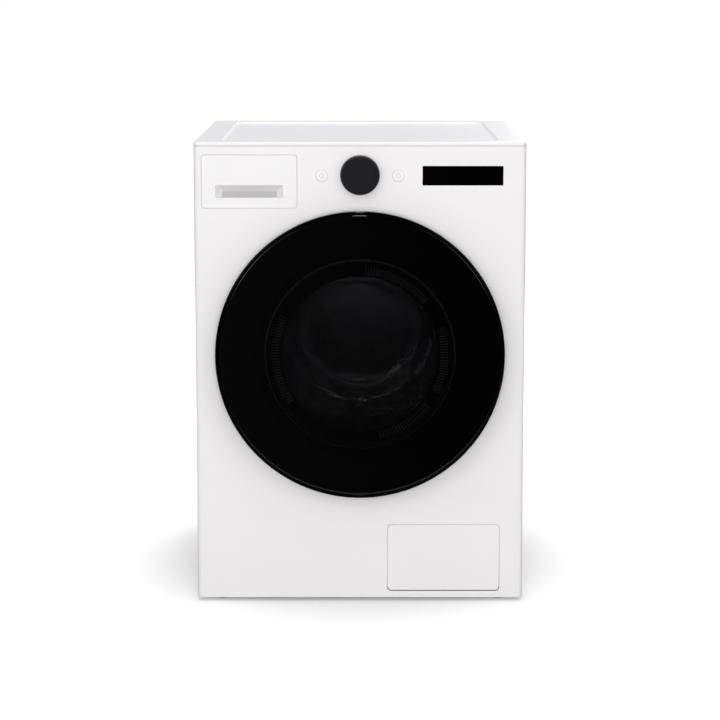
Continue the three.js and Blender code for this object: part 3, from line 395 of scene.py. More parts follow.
def finish(name, group, values, tone=None, relief=0.1, depth=0.0003, dusty=0.0, **constants):
    """A material whose looks come from a group, with its plain numbers on the shader itself."""
    material = bpy.data.materials.new(name)
    material.use_nodes = True
    tree = material.node_tree
    shader = tree.nodes["Principled BSDF"]
    for label, value in constants.items():
        shader.inputs[label.replace("_", " ")].default_value = value
    position = put(tree, "ShaderNodeTexCoord").outputs["Object"]
    skin = put(tree, "ShaderNodeGroup", node_tree=group)
    tree.links.new(position, skin.inputs["Position"])
    if tone:
        skin.inputs["Tone"].default_value = (*tone, 1.0)
        shader.inputs["Base Color"].default_value = (*tone, 1.0)
    for label, value in values.items():
        skin.inputs[label].default_value = value
    toned, sheen = skin.outputs.get("Tone"), skin.outputs["Sheen"]
    if dusty:
        cover = put(tree, "ShaderNodeGroup", node_tree=dust)
        cover.inputs["Amount"].default_value = dusty
        tree.links.new(position, cover.inputs["Position"])
        tree.links.new(toned, cover.inputs["Tone"])
        tree.links.new(sheen, cover.inputs["Sheen"])
        toned, sheen = cover.outputs["Tone"], cover.outputs["Sheen"]
    if toned:
        tree.links.new(toned, shader.inputs["Base Color"])
    tree.links.new(sheen, shader.inputs["Roughness"])
    height = skin.outputs.get("Relief")
    if height:
        bump = put(tree, "ShaderNodeBump", {"Strength": relief, "Distance": depth, "Height": height})
        tree.links.new(bump.outputs["Normal"], shader.inputs["Normal"])
    return material


def painted(name, tone, patches, grain, sheen, relief, dusty=0.0, **constants):
    """Paint, plastic or rubber, from pairs: size and drift, value and drift, strength and depth."""
    values = {"Patch Size": patches[0], "Patch Drift": patches[1], "Grain Size": grain[0],
              "Grain Drift": grain[1], "Sheen": sheen[0], "Sheen Drift": sheen[1]}
    return finish(name, uneven, values, tone, *relief, dusty, **constants)


enamel = painted("white_enamel", (0.865, 0.845, 0.855), (0.25, 0.012), (0.0016, 0.006), (0.33, 0.03),
                 (0.06, 0.0002), Coat_Weight=0.25, Coat_Roughness=0.12)
white_plastic = painted("white_plastic", (0.875, 0.862, 0.868), (0.08, 0.015), (0.0005, 0.012),
                        (0.42, 0.05), (0.1, 0.00015))
# Mid grey for the sheet inside the drawer's grip pocket: painted shade.
pocket_shade_grey = painted("grip_grey_plastic", (0.50, 0.49, 0.495), (0.05, 0.03), (0.0005, 0.02), (0.5, 0.05),
                    (0.1, 0.00015))
black_gloss = painted("black_gloss_plastic", (0.003, 0.003, 0.0034), (0.06, 0.1), (0.0008, 0.05),
                      (0.34, 0.05), (0.05, 0.0001), Specular_IOR_Level=0.35)
black_plastic = painted("black_plastic", (0.014, 0.014, 0.015), (0.05, 0.12), (0.0006, 0.25),
                        (0.5, 0.12), (0.25, 0.0003), 0.06)
charcoal = painted("charcoal_plastic", (0.0065, 0.0062, 0.0095), (0.05, 0.08), (0.0004, 0.1),
                   (0.42, 0.06), (0.12, 0.0002))
grey_plastic = painted("grey_plastic", (0.26, 0.275, 0.29), (0.05, 0.08), (0.0007, 0.08), (0.55, 0.1),
                       (0.2, 0.0003), 0.1)
tub_plastic = painted("tub_plastic", (0.52, 0.54, 0.53), (0.07, 0.1), (0.0022, 0.12), (0.58, 0.12),
                      (0.3, 0.0005), 0.18)
blue_plastic = painted("blue_plastic", (0.10, 0.22, 0.42), (0.04, 0.06), (0.0006, 0.06), (0.45, 0.08),
                       (0.15, 0.0002), 0.05)
rubber = painted("grey_rubber", (0.085, 0.089, 0.094), (0.03, 0.16), (0.0012, 0.16), (0.72, 0.12),
                 (0.25, 0.0004), 0.06)
black_rubber = painted("black_rubber", (0.018, 0.018, 0.019), (0.03, 0.2), (0.001, 0.2), (0.75, 0.12),
                       (0.25, 0.0004), 0.1)
tray_plastic = painted("tray_plastic", (0.52, 0.62, 0.74), (0.05, 0.05), (0.0006, 0.06), (0.3, 0.06),
                       (0.1, 0.0002))
baffle_plastic = painted("baffle_plastic", (0.45, 0.46, 0.47), (0.05, 0.05), (0.0006, 0.06),
                         (0.36, 0.08), (0.12, 0.0002))
zinc = finish("galvanised_steel", spangle, {
    "Flake Size": 0.006, "Contrast": 0.32, "Sheen": 0.4, "Sheen Drift": 0.22},
    (0.52, 0.54, 0.56), 0.04, 0.0002, 0.1, Metallic=0.85)
steel = finish("stainless_steel", brushed, {
    "Stretch": (1.0, 0.04, 1.0), "Line Size": 0.0012, "Contrast": 0.1, "Sheen": 0.26, "Sheen Drift": 0.14},
    (0.66, 0.67, 0.68), 0.05, 0.0002, Metallic=1.0)
screw_steel = finish("screw_steel", brushed, {
    "Stretch": (1.0, 1.0, 1.0), "Line Size": 0.0008, "Contrast": 0.25, "Sheen": 0.34, "Sheen Drift": 0.2},
    (0.56, 0.56, 0.57), 0.1, 0.0001, Metallic=1.0)
aluminium = finish("cast_aluminium", grit, {
    "Grit Size": 0.0014, "Pore Size": 0.012, "Contrast": 0.18, "Sheen": 0.5, "Sheen Drift": 0.14},
    (0.47, 0.48, 0.49), 0.25, 0.0005, 0.1, Metallic=0.9)
concrete = finish("concrete", grit, {
    "Grit Size": 0.003, "Pore Size": 0.011, "Contrast": 0.35, "Sheen": 0.88, "Sheen Drift": 0.08},
    (0.30, 0.295, 0.28), 0.6, 0.0012, 0.15)
iron = finish("motor_iron", grit, {
    "Grit Size": 0.0008, "Pore Size": 0.02, "Contrast": 0.15, "Sheen": 0.4, "Sheen Drift": 0.12},
    (0.12, 0.125, 0.13), 0.15, 0.0002, 0.1, Metallic=0.8)
copper = finish("copper_winding", winding, {"Wire Size": 0.0011},
                (0.60, 0.24, 0.09), 0.7, 0.0006, Metallic=0.85)
board = finish("circuit_board", tracks, {
    "Board Tone": (0.02, 0.12, 0.045, 1.0), "Track Tone": (0.05, 0.24, 0.08, 1.0), "Track Size": 0.005},
    None, 0.2, 0.0002)


def glass(name, tone, sheen, transmission, film_amount):
    """Glass with a faint film on it. Transmission and metal stay plain numbers."""
    material = finish(name, film, {"Sheen": sheen, "Film": film_amount}, IOR=1.5, Alpha=1.0, Metallic=0.0,
                      Transmission_Weight=transmission)
    shader = material.node_tree.nodes["Principled BSDF"]
    shader.inputs["Base Color"].default_value = (*tone, 1.0)
    return material


def tinted_glass():
    """Smoked glass, printed black outside the viewing circle: alpha falls inside it."""
    material = glass("tinted_glass", (0.0006, 0.0006, 0.0008), 0.035, 0.0, 0.02)
    tree = material.node_tree
    shader = tree.nodes["Principled BSDF"]
    position = put(tree, "ShaderNodeTexCoord").outputs["Object"]
    flat = calc_arrow(tree, "MULTIPLY", position, (1.0, 0.0, 1.0))
    far = calc_arrow(tree, "DISTANCE", flat, AXIS)
    tree.links.new(ranged(tree, far, *CLEAR_EDGE, CLEAR_ALPHA, 1.0), shader.inputs["Alpha"])
    return material


CLEAR_ALPHA = 0.6
CLEAR_EDGE = (0.214, 0.222)
door_tint = tinted_glass()
display_glass = glass("display_plastic", (0.0004, 0.0004, 0.0005), 0.12, 0.0, 0.03)
bowl_glass = glass("bowl_glass", (0.52, 0.52, 0.55), 0.03, 0.92, 0.01)

# ---------------------------------------------------------------- shapes


def smooth(obj, angle=32.0):
    obj.data.shade_smooth()
    obj.data.set_sharp_from_angle(angle=math.radians(angle))
    return obj


def new_piece(name, points, faces, angle=32.0):
    """A closed mesh from points in millimetres, its doubles merged and its faces turned outwards."""
    data = bpy.data.meshes.new(name)
    data.from_pydata([Vector(point) * MM for point in points], [], faces)
    obj = bpy.data.objects.new(name, data)
    scene.collection.objects.link(obj)
    work = bmesh.new()
    work.from_mesh(data)
    bmesh.ops.remove_doubles(work, verts=work.verts, dist=2e-6)
    bmesh.ops.dissolve_degenerate(work, edges=work.edges, dist=1e-7)
    bmesh.ops.recalc_face_normals(work, faces=work.faces)
    work.to_mesh(data)
    work.free()
    return smooth(obj, angle)


def softened(profile, radius, steps=3):
    """A closed profile whose corners are turned into small arcs; corners on the axis stay sharp."""
    count = len(profile)
    open_ends = profile[0][0] == 0 and profile[-1][0] == 0
    result = []
    for i, corner in enumerate(profile):
        end = open_ends and i in (0, count - 1)
        if end or corner[0] == 0:
            result.append(corner)
            continue
        here = Vector(corner)
        before = Vector(profile[i - 1]) - here
        after = Vector(profile[(i + 1) % count]) - here
        reach = min(radius, before.length * 0.45, after.length * 0.45)
        start = here + before.normalized() * reach
        finish_at = here + after.normalized() * reach
        for k in range(steps + 1):
            t = k / steps
            point = start * (1 - t) ** 2 + here * (2 * t * (1 - t)) + finish_at * t ** 2
            result.append((point.x, point.y))
    return result


def turned(name, profile, x=0.0, z=AXIS_Z, sides=ROUND_SIDES, soft=0.0, axis="Y", angle=32.0):
    """A profile of (radius, place along the axis) turned about an axis through two other coordinates."""
    if soft:
        profile = softened(profile, soft)
    count = len(profile)
    points = []
    for k in range(sides):
        across = math.sin(TURN * k / sides)
        upward = math.cos(TURN * k / sides)
        for radius, along in profile:
            if axis == "Y":
                points.append((x + radius * across, along, z + radius * upward))
            elif axis == "Z":
                points.append((x + radius * across, z + radius * upward, along))
            else:
                points.append((along, x + radius * across, z + radius * upward))
    open_ends = profile[0][0] == 0 and profile[-1][0] == 0
    faces = []
    for k in range(sides):
        a = k * count
        b = (k + 1) % sides * count
        for i in range(count - 1 if open_ends else count):
            j = (i + 1) % count
            faces.append((a + i, a + j, b + j, b + i))
    return new_piece(name, points, faces, angle)


def wall(line, thickness):
    """The closed profile of a wall of one thickness along a line of (radius, place) points."""
    outer, inner = [], []
    for i, corner in enumerate(line):
        here = Vector(corner)
        before = Vector(line[i - 1]) if i else here
        after = Vector(line[i + 1]) if i + 1 < len(line) else here
        arriving, leaving = (here - before).normalized(), (after - here).normalized()
        along = (arriving + leaving).normalized()
        straight = arriving if arriving.length else leaving
        reach = thickness / 2 / max(along.dot(straight), 0.3)
        outer.append((max(here.x - along.y * reach, 0.0), here.y + along.x * reach))
        inner.insert(0, (max(here.x + along.y * reach, 0.0), here.y - along.x * reach))
    return outer + inner


def curved(line, steps=4):
    """A smooth line through points, by Catmull-Rom, for walls that bend without corners."""
    result = []
    for i in range(len(line) - 1):
        p0 = Vector(line[max(i - 1, 0)])
        p1 = Vector(line[i])
        p2 = Vector(line[i + 1])
        p3 = Vector(line[min(i + 2, len(line) - 1)])
        for k in range(steps):
            t = k / steps
            point = 0.5 * (2 * p1 + (p2 - p0) * t + (2 * p0 - 5 * p1 + 4 * p2 - p3) * t ** 2
                           + (3 * p1 - p0 - 3 * p2 + p3) * t ** 3)
            result.append(tuple(point))
    return result + [tuple(line[-1])]


def rounded_rect(u0, u1, v0, v1, radius, steps=6):
    corners = [(u1 - radius, v1 - radius, 0), (u0 + radius, v1 - radius, 1),
               (u0 + radius, v0 + radius, 2), (u1 - radius, v0 + radius, 3)]
    points = []
    for u, v, quarter in corners:
        for k in range(steps + 1):
            angle = TURN / 4 * (quarter + k / steps)
            points.append((u + radius * math.cos(angle), v + radius * math.sin(angle)))
    return points


def inset_rect(u, v, inset, radius, steps=6):
    """A rounded rectangle drawn in from its edges all round, or out from them."""
    return rounded_rect(u[0] + inset, u[1] - inset, v[0] + inset, v[1] - inset, radius, steps)


def circle(u, v, radius, sides=48):
    return [(u + radius * math.cos(TURN * k / sides), v + radius * math.sin(TURN * k / sides))
            for k in range(sides)]


def place(axis, u, v, along):
    """A point of a flat outline: drawn in YZ for X, in XZ for Y and in XY for Z."""
    return {"X": (along, u, v), "Y": (u, along, v), "Z": (u, v, along)}[axis]


def loft(name, loops, angle=32.0):
    """Loops of equal point count joined one to the next, with the first and the last closed."""
    count = len(loops[0])
    points = [point for loop in loops for point in loop]
    faces = [tuple(range(count)), tuple(range(len(points) - count, len(points)))]
    for level in range(len(loops) - 1):
        a, b = level * count, (level + 1) * count
        faces += [(a + i, a + (i + 1) % count, b + (i + 1) % count, b + i) for i in range(count)]
    return new_piece(name, points, faces, angle)


def prism(name, outline, axis, start, end, angle=32.0):
    return loft(name, [[place(axis, u, v, along) for u, v in outline] for along in (start, end)], angle)


def block(name, x, y, z, radius=0.0):
    corners = [(x[0], z[0]), (x[1], z[0]), (x[1], z[1]), (x[0], z[1])]
    outline = rounded_rect(*x, *z, radius, 3) if radius else corners
    return prism(name, outline, "Y", *y)


def settle(obj):
    """Applies every modifier, so that the piece is a plain mesh."""
    bpy.context.view_layer.update()
    depsgraph = bpy.context.evaluated_depsgraph_get()
    data = bpy.data.meshes.new_from_object(obj.evaluated_get(depsgraph), depsgraph=depsgraph)
    obj.modifiers.clear()
    old = obj.data
    obj.data = data
    data.name = obj.name
    if old.users == 0:
        bpy.data.meshes.remove(old)
    return obj


def cut(obj, *cutters, operation="DIFFERENCE"):
    """Cuts each cutter out of the piece, or joins it on, and throws the cutter away."""
    for cutter in cutters:
        step = obj.modifiers.new("cut", "BOOLEAN")
        step.operation = operation
        step.solver = "EXACT"
        step.object = cutter
    settle(obj)
    for cutter in cutters:
        bpy.data.objects.remove(cutter)
    return obj


def gathered(name, pieces, angle=32.0):
    """Several closed shapes kept as one piece."""
    work = bmesh.new()
    for part in pieces:
        work.from_mesh(part.data)
        bpy.data.objects.remove(part)
    data = bpy.data.meshes.new(name)
    work.to_mesh(data)
    work.free()
    obj = bpy.data.objects.new(name, data)
    scene.collection.objects.link(obj)
    return flattened(smooth(obj, angle))


def flattened(obj):
    """Turns the shading at each corner towards the largest face there, so that flats look flat."""
    step = obj.modifiers.new("flats", "WEIGHTED_NORMAL")
    step.keep_sharp = True
    return settle(obj)


def bevelled(obj, width, segments=2, angle=38.0):
    """Rounds the sharp edges and keeps the flats flat."""
    step = obj.modifiers.new("edges", "BEVEL")
    step.width = width * MM
    step.segments = segments
    step.limit_method = "ANGLE"
    step.angle_limit = math.radians(angle)
    step.use_clamp_overlap = True
    obj.data.shade_smooth()
    return flattened(obj)


def fit(obj, material, body, slot, *nodes):
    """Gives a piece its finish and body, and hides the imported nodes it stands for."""
    obj.data.materials.clear()
    obj.data.materials.append(material)
    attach(obj, body)
    if nodes:
        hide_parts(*nodes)
    return obj


FLAT_WITHIN = math.radians(1.0)


def refined(node, name, width=0.6, segments=2):
    """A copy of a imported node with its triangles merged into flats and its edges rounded."""
    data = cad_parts[node].data.copy()
    data.materials.clear()
    obj = bpy.data.objects.new(name, data)
    scene.collection.objects.link(obj)
    work = bmesh.new()
    work.from_mesh(data)
    bmesh.ops.remove_doubles(work, verts=work.verts, dist=2e-5)
    bmesh.ops.dissolve_limit(work, angle_limit=FLAT_WITHIN, verts=work.verts, edges=work.edges)
    work.to_mesh(data)
    work.free()
    return bevelled(obj, width, segments)


def tube(name, points, radius, sides=20, steps=8):
    """A round bar or hose along a smooth line through points."""
    path = [Vector(point) for point in curved(points, steps)]
    loops = []
    side = None
    for i, point in enumerate(path):
        along = (path[min(i + 1, len(path) - 1)] - path[max(i - 1, 0)]).normalized()
        if side is None:
            side = along.orthogonal().normalized()
        side = (side - along * side.dot(along)).normalized()
        over = along.cross(side)
        size = radius(i / (len(path) - 1)) if callable(radius) else radius
        loops.append([point + side * u + over * v for u, v in circle(0.0, 0.0, size, sides)])
    return loft(name, loops, 40.0)


# ---------------------------------------------------------------- what repeats, by geometry nodes


def geometry_tree(name, inputs):
    """A tree whose named inputs are the shape to copy, its own list and the finish."""
    tree = bpy.data.node_groups.new(name, "GeometryNodeTree")
    tree.interface.new_socket("Geometry", in_out="INPUT", socket_type="NodeSocketGeometry")
    for label, kind in [("Copy", "NodeSocketObject"), *inputs, ("Finish", "NodeSocketMaterial")]:
        tree.interface.new_socket(label, in_out="INPUT", socket_type=kind)
    tree.interface.new_socket("Geometry", in_out="OUTPUT", socket_type="NodeSocketGeometry")
    return tree, put(tree, "NodeGroupInput").outputs, put(tree, "NodeGroupOutput")


def placed_copies(tree, given, out, spots, turn=(0.0, 0.0, 0.0)):
    """The end of every tree: a copy at each spot, made real, joined up and given its finish."""
    copy = put(tree, "GeometryNodeObjectInfo", {"Object": given["Copy"]}).outputs["Geometry"]
    settings = {"Points": spots, "Instance": copy, "Rotation": turn}
    copies = put(tree, "GeometryNodeInstanceOnPoints", settings).outputs[0]
    real = put(tree, "GeometryNodeRealizeInstances", {"Geometry": copies}).outputs[0]
    joined = put(tree, "GeometryNodeMergeByDistance", {"Geometry": real, "Distance": 0.00002}).outputs[0]
    painted_all = put(tree, "GeometryNodeSetMaterial", {"Geometry": joined, "Material": given["Finish"]})
    tree.links.new(painted_all.outputs[0], out.inputs["Geometry"])
    return tree


def new_spots(tree, count, place_of_each):
    return put(tree, "GeometryNodePoints", {"Count": count, "Position": place_of_each}).outputs[0]


def row_and_column(tree, columns):
    """Where each copy stands when they are laid out row by row."""
    index = put(tree, "GeometryNodeInputIndex").outputs[0]
    row = calc(tree, "FLOOR", calc(tree, "DIVIDE", calc(tree, "ADD", index, 0.001), columns))
    return row, calc(tree, "SUBTRACT", index, calc(tree, "MULTIPLY", row, columns))


def round_place(tree, angle, given, along=0.0):
    """A place on a circle about an axis along Y, and the turn of a copy there."""
    across = calc(tree, "MULTIPLY", calc(tree, "SINE", angle), given["Radius"])
    upward = calc(tree, "MULTIPLY", calc(tree, "COSINE", angle), given["Radius"])
    offset = put(tree, "ShaderNodeCombineXYZ", {"X": across, "Y": along, "Z": upward}).outputs[0]
    turn = put(tree, "ShaderNodeCombineXYZ", {"Y": angle}).outputs[0]
    return calc_arrow(tree, "ADD", offset, given["Centre"]), turn


def copies_in_a_ring():
    """Copies of one shape round an axis along Y, turned with the ring."""
    tree, given, out = geometry_tree("copies_in_a_ring", [
        ("Count", WHOLE), ("Radius", NUMBER), ("Start Angle", NUMBER), ("Sweep", NUMBER),
                                                          ("Centre", ARROW)])
    index = put(tree, "GeometryNodeInputIndex").outputs[0]
    share = calc(tree, "DIVIDE", index, given["Count"])
    angle = calc(tree, "MULTIPLY_ADD", share, given["Sweep"], given["Start Angle"])
    spot, turn = round_place(tree, angle, given)
    return placed_copies(tree, given, out, new_spots(tree, given["Count"], spot), turn)


def copies_in_rows():
    """Copies of one shape in columns and rows."""
    tree, given, out = geometry_tree("copies_in_rows", [
        ("Columns", WHOLE), ("Rows", WHOLE), ("Start", ARROW), ("Column Step", ARROW),
                                                        ("Row Step", ARROW)])
    spot = given["Start"]
    row, column = row_and_column(tree, given["Columns"])
    for label, count in (("Column Step", column), ("Row Step", row)):
        step = put(tree, "ShaderNodeVectorMath", {0: given[label], "Scale": count}, operation="SCALE")
        spot = calc_arrow(tree, "ADD", step.outputs[0], spot)
    total = calc(tree, "MULTIPLY", given["Columns"], given["Rows"])
    return placed_copies(tree, given, out, new_spots(tree, total, spot))


def copies_at_spots():
    """Copies of one shape at the corners of a guide mesh, all turned the same way."""
    tree, given, out = geometry_tree("copies_at_spots", [("Turn", ARROW)])
    return placed_copies(tree, given, out, given["Geometry"], given["Turn"])


def pierced_wall():
    """A round wall about an axis along Y, made of copies of a cell with a hole in it."""
    tree, given, out = geometry_tree("pierced_wall", [
        ("Around", WHOLE), ("Rows", WHOLE), ("Radius", NUMBER), ("Start", NUMBER), ("Pitch", NUMBER),
        ("Centre", ARROW)])
    row, column = row_and_column(tree, given["Around"])
    angle = calc(tree, "MULTIPLY", calc(tree, "DIVIDE", column, given["Around"]), TURN)
    along = calc(tree, "MULTIPLY_ADD", row, given["Pitch"], given["Start"])
    spot, turn = round_place(tree, angle, given, along)
    total = calc(tree, "MULTIPLY", given["Around"], given["Rows"])
    return placed_copies(tree, given, out, new_spots(tree, total, spot), turn)


ring_tree = copies_in_a_ring()
rows_tree = copies_in_rows()
spots_tree = copies_at_spots()
pierced_tree = pierced_wall()


def grown(name, tree, values, material, spots=None, angle=32.0):
    """Runs a geometry tree and keeps its result as a plain mesh; lengths in values are metres."""
    data = bpy.data.meshes.new(name + "_guide")
    data.from_pydata([Vector(spot) * MM for spot in spots or [(0.0, 0.0, 0.0)]], [], [])
    obj = bpy.data.objects.new(name, data)
    scene.collection.objects.link(obj)
    step = obj.modifiers.new("grow", "NODES")
    step.node_group = tree
    sockets = {item.name: item.identifier for item in tree.interface.items_tree if item.in_out == "INPUT"}
    for label, value in {**values, "Finish": material}.items():
        step[sockets[label]] = value
    settle(obj)
    template = values.get("Copy")
    if template:
        bpy.data.objects.remove(template)
    return smooth(obj, angle)


def ringed(name, copy, count, radius, material, start=0.0, sweep=TURN, centre=AXIS):
    """Copies in a ring round the axis of the drum, or round another centre."""
    values = {"Copy": copy, "Count": count, "Radius": radius * MM, "Start Angle": start, "Sweep": sweep,
              "Centre": centre}
    return grown(name, ring_tree, values, material)


def screw_shape(radius, height=1.6):
    """A pan head with a cross recess, looking along -Y, at the origin."""
    profile = [(0.0, -height), (radius * 0.45, -height * 0.95), (radius * 0.85, -height * 0.55),
               (radius, 0.0), (0.0, 0.0)]
    head = turned("screw_shape", profile, 0.0, 0.0, 12)
    arm = radius * 0.55
    one = block("arm_one", (-arm, arm), (-height - 1.0, -height * 0.45), (-0.45, 0.45))
    two = block("arm_two", (-0.45, 0.45), (-height - 1.0, -height * 0.45), (-arm, arm))
    return cut(head, one, two)


FACING = {"front": (0.0, 0.0, 0.0), "rear": (0.0, 0.0, math.pi)}


def screws(name, spots, facing, slot, body="cabinet", radius=3.6):
    values = {"Copy": screw_shape(radius), "Turn": FACING[facing]}
    return fit(grown(name, spots_tree, values, screw_steel, spots), screw_steel, body, slot)


def on_ring(radius, count, y, skip=()):
    """Places spread evenly round the axis of the drum, starting half a step from the top."""
    angles = [TURN * (k + 0.5) / count for k in range(count) if k not in skip]
    return [(radius * math.sin(angle), y, AXIS_Z + radius * math.cos(angle)) for angle in angles]


def skinned(node, name, material, body, slot, width=0.6, segments=2):
    """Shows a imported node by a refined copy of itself."""
    return fit(refined(node, name, width, segments), material, body, slot, node)


def blended(obj, material, slot, fixed, moving, *nodes):
    """A soft piece between the cabinet and the tub: given its finish, with the nodes it stands for hidden
    and its place baked into its points.
    """
    obj.data.materials.append(material)
    if nodes:
        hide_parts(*nodes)
    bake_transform(obj)


# ---------------------------------------------------------------- cabinet

HALF = cad_high.x / MM
REAR_Y = edges_of("rear_panel")[1].y
TOP_Z = cad_high.z / MM
SHEET = 1.2
CONTROL_Z = 921.0
BUTTON_X, BUTTON_Z = 80.5, 919.0
INLET_X, INLET_Z = (-240.0, -170.0), 925.0
SPOUT_X, SPOUT_Y = -165.0, -140.0
DRAWER_LOW, DRAWER_HIGH = edges_of("drawer_front")
FLAP_LOW, FLAP_HIGH = edges_of("filter_flap")
SCREEN_X, SCREEN_Z = (132.0, 301.0), (899.0, 939.0)
PUMP_X, PUMP_Z = 179.65, 95.9


def build_front_panel():
    corner, back = 10.0, FRONT_Y + 14.0
    outer, inner = [], []
    for k in range(11):
        angle = TURN / 4 * k / 10
        for line, radius in ((outer, corner), (inner, corner - SHEET)):
            line.append((-(HALF - corner) - radius * math.cos(angle),
                         FRONT_Y + corner - radius * math.sin(angle)))
    outline = [(-HALF, back)] + outer + [(-x, y) for x, y in reversed(outer)] + [(HALF, back)]
    outline += [(HALF - SHEET, back)] + [(-x, y) for x, y in inner] + inner[::-1] + [(-HALF + SHEET, back)]
    low, high = edges_of("front_panel")
    panel = prism("front_panel_sheet", outline, "Z", low.z, high.z)
    through = (FRONT_Y - 3.0, FRONT_Y + SHEET + 2.0)
    line = 1.7
    drawer = rounded_rect(DRAWER_LOW.x - line, DRAWER_HIGH.x + line, DRAWER_LOW.z - line,
                          DRAWER_HIGH.z + line, 8.2)
    flap = rounded_rect(FLAP_LOW.x - line, FLAP_HIGH.x + line, FLAP_LOW.z - line, FLAP_HIGH.z + line, 10.0)
    screen = inset_rect(SCREEN_X, SCREEN_Z, -0.5, 2.0)
    cut(panel,
        prism("cut_porthole", circle(0.0, AXIS_Z, 215.0, 144), "Y", *through),
        prism("cut_drawer", drawer, "Y", *through),
        prism("cut_flap", flap, "Y", *through),
        prism("cut_screen", screen, "Y", *through),
        prism("cut_power", circle(-BUTTON_X, BUTTON_Z, 13.0), "Y", *through),
        prism("cut_start", circle(BUTTON_X, BUTTON_Z, 13.0), "Y", *through),
        prism("cut_dial", circle(0.0, CONTROL_Z, 5.0, 24), "Y", *through),
        block("cut_latch", (249.0, 278.0), through, (529.0, 555.0), 4.0))
    bevelled(panel, 0.45, 2)
    flange = (FRONT_Y + 1.0, back - 0.3)
    collar = [(radius, FRONT_Y + y) for radius, y in ((214.9, 0.9), (216.2, 0.9), (216.2, 10.2),
                                                      (214.9, 10.2))]
    pieces = [panel, block("lower_flange", (-339.0, 339.0), flange, (low.z, low.z + SHEET)),
              block("upper_flange", (-339.0, 339.0), flange, (high.z - SHEET, high.z)),
              turned("porthole_collar", collar, sides=144, soft=0.3)]
    fit(gathered("front_panel_skin", pieces), enamel, "cabinet", "white_enamel", "front_panel")
    screws("porthole_screws", on_ring(238.0, 6, FRONT_Y - 0.05), "front", "galvanised_steel", radius=4.2)


def build_top_cover():
    bottom = TOP_Z - 8.5
    steps = [(1.2, bottom, 9.0), (0.4, bottom + 0.15, 9.8), (0.0, bottom + 0.7, 10.0),
             (0.0, TOP_Z - 3.2, 10.0), (0.35, TOP_Z - 1.7, 10.0), (1.2, TOP_Z - 0.6, 9.6),
             (2.4, TOP_Z - 0.12, 9.0), (4.0, TOP_Z, 8.0), (54.0, TOP_Z, 22.0), (55.2, TOP_Z - 0.3, 22.0),
             (59.6, TOP_Z - 4.5, 20.0), (61.2, TOP_Z - 5.0, 19.0)]
    loops = []
    for inset, z, radius in steps:
        outline = inset_rect((-HALF, HALF), (FRONT_Y, REAR_Y), inset, radius, 8)
        loops.append([(x, y, z) for x, y in outline])
    cover = loft("top_cover_skin", loops, 55.0)
    fit(flattened(cover), enamel, "cabinet", "white_enamel", "top_cover")


def build_side_panel(side, node):
    low, high = edges_of(node)
    face, inner = HALF, HALF - SHEET
    pad = ((low.y + 70.0, high.y - 70.0), (95.0, 845.0))
    edge = rounded_rect(low.y, high.y, low.z, high.z, 1.0)
    steps = []
    for x in (face, inner):
        steps.append([(x - dip, inset_rect(*pad, inset, 41.0 - inset))
                      for dip, inset in ((1.9, 9), (1.6, 6), (0.3, 2), (0.0, 0))])
    loops = steps[0] + [(face, edge), (inner, edge)] + list(reversed(steps[1]))
    panel = loft("side_sheet", [[(side * x, y, z) for y, z in loop] for x, loop in loops], 50.0)
    flattened(panel)
    name = "left" if side < 0 else "right"
    front = block("front_flange", sorted((side * (HALF - 0.5), side * (HALF - 10))),
                  (low.y, low.y + SHEET), (low.z, high.z))
    rear_y = REAR_Y - SHEET - 0.3
    rear = block("rear_flange", sorted((side * (HALF - 0.5), side * (HALF - 13))),
                 (rear_y - SHEET, rear_y), (low.z, high.z))
    shell = gathered(name + "_side_skin", [panel, front, rear], 50.0)
    fit(shell, enamel, "cabinet", "white_enamel", node)


def louvre_shape():
    loops = []
    for inset, y in ((0.0, 0.4), (0.0, -0.2), (1.0, -1.5), (2.4, -2.3)):
        loops.append([(u, y, v) for u, v in inset_rect((-22, 22), (-3.6, 3.6), inset, 1.1, 2)])
    return loft("louvre_shape", [[(x, -y, z) for x, y, z in loop] for loop in loops])


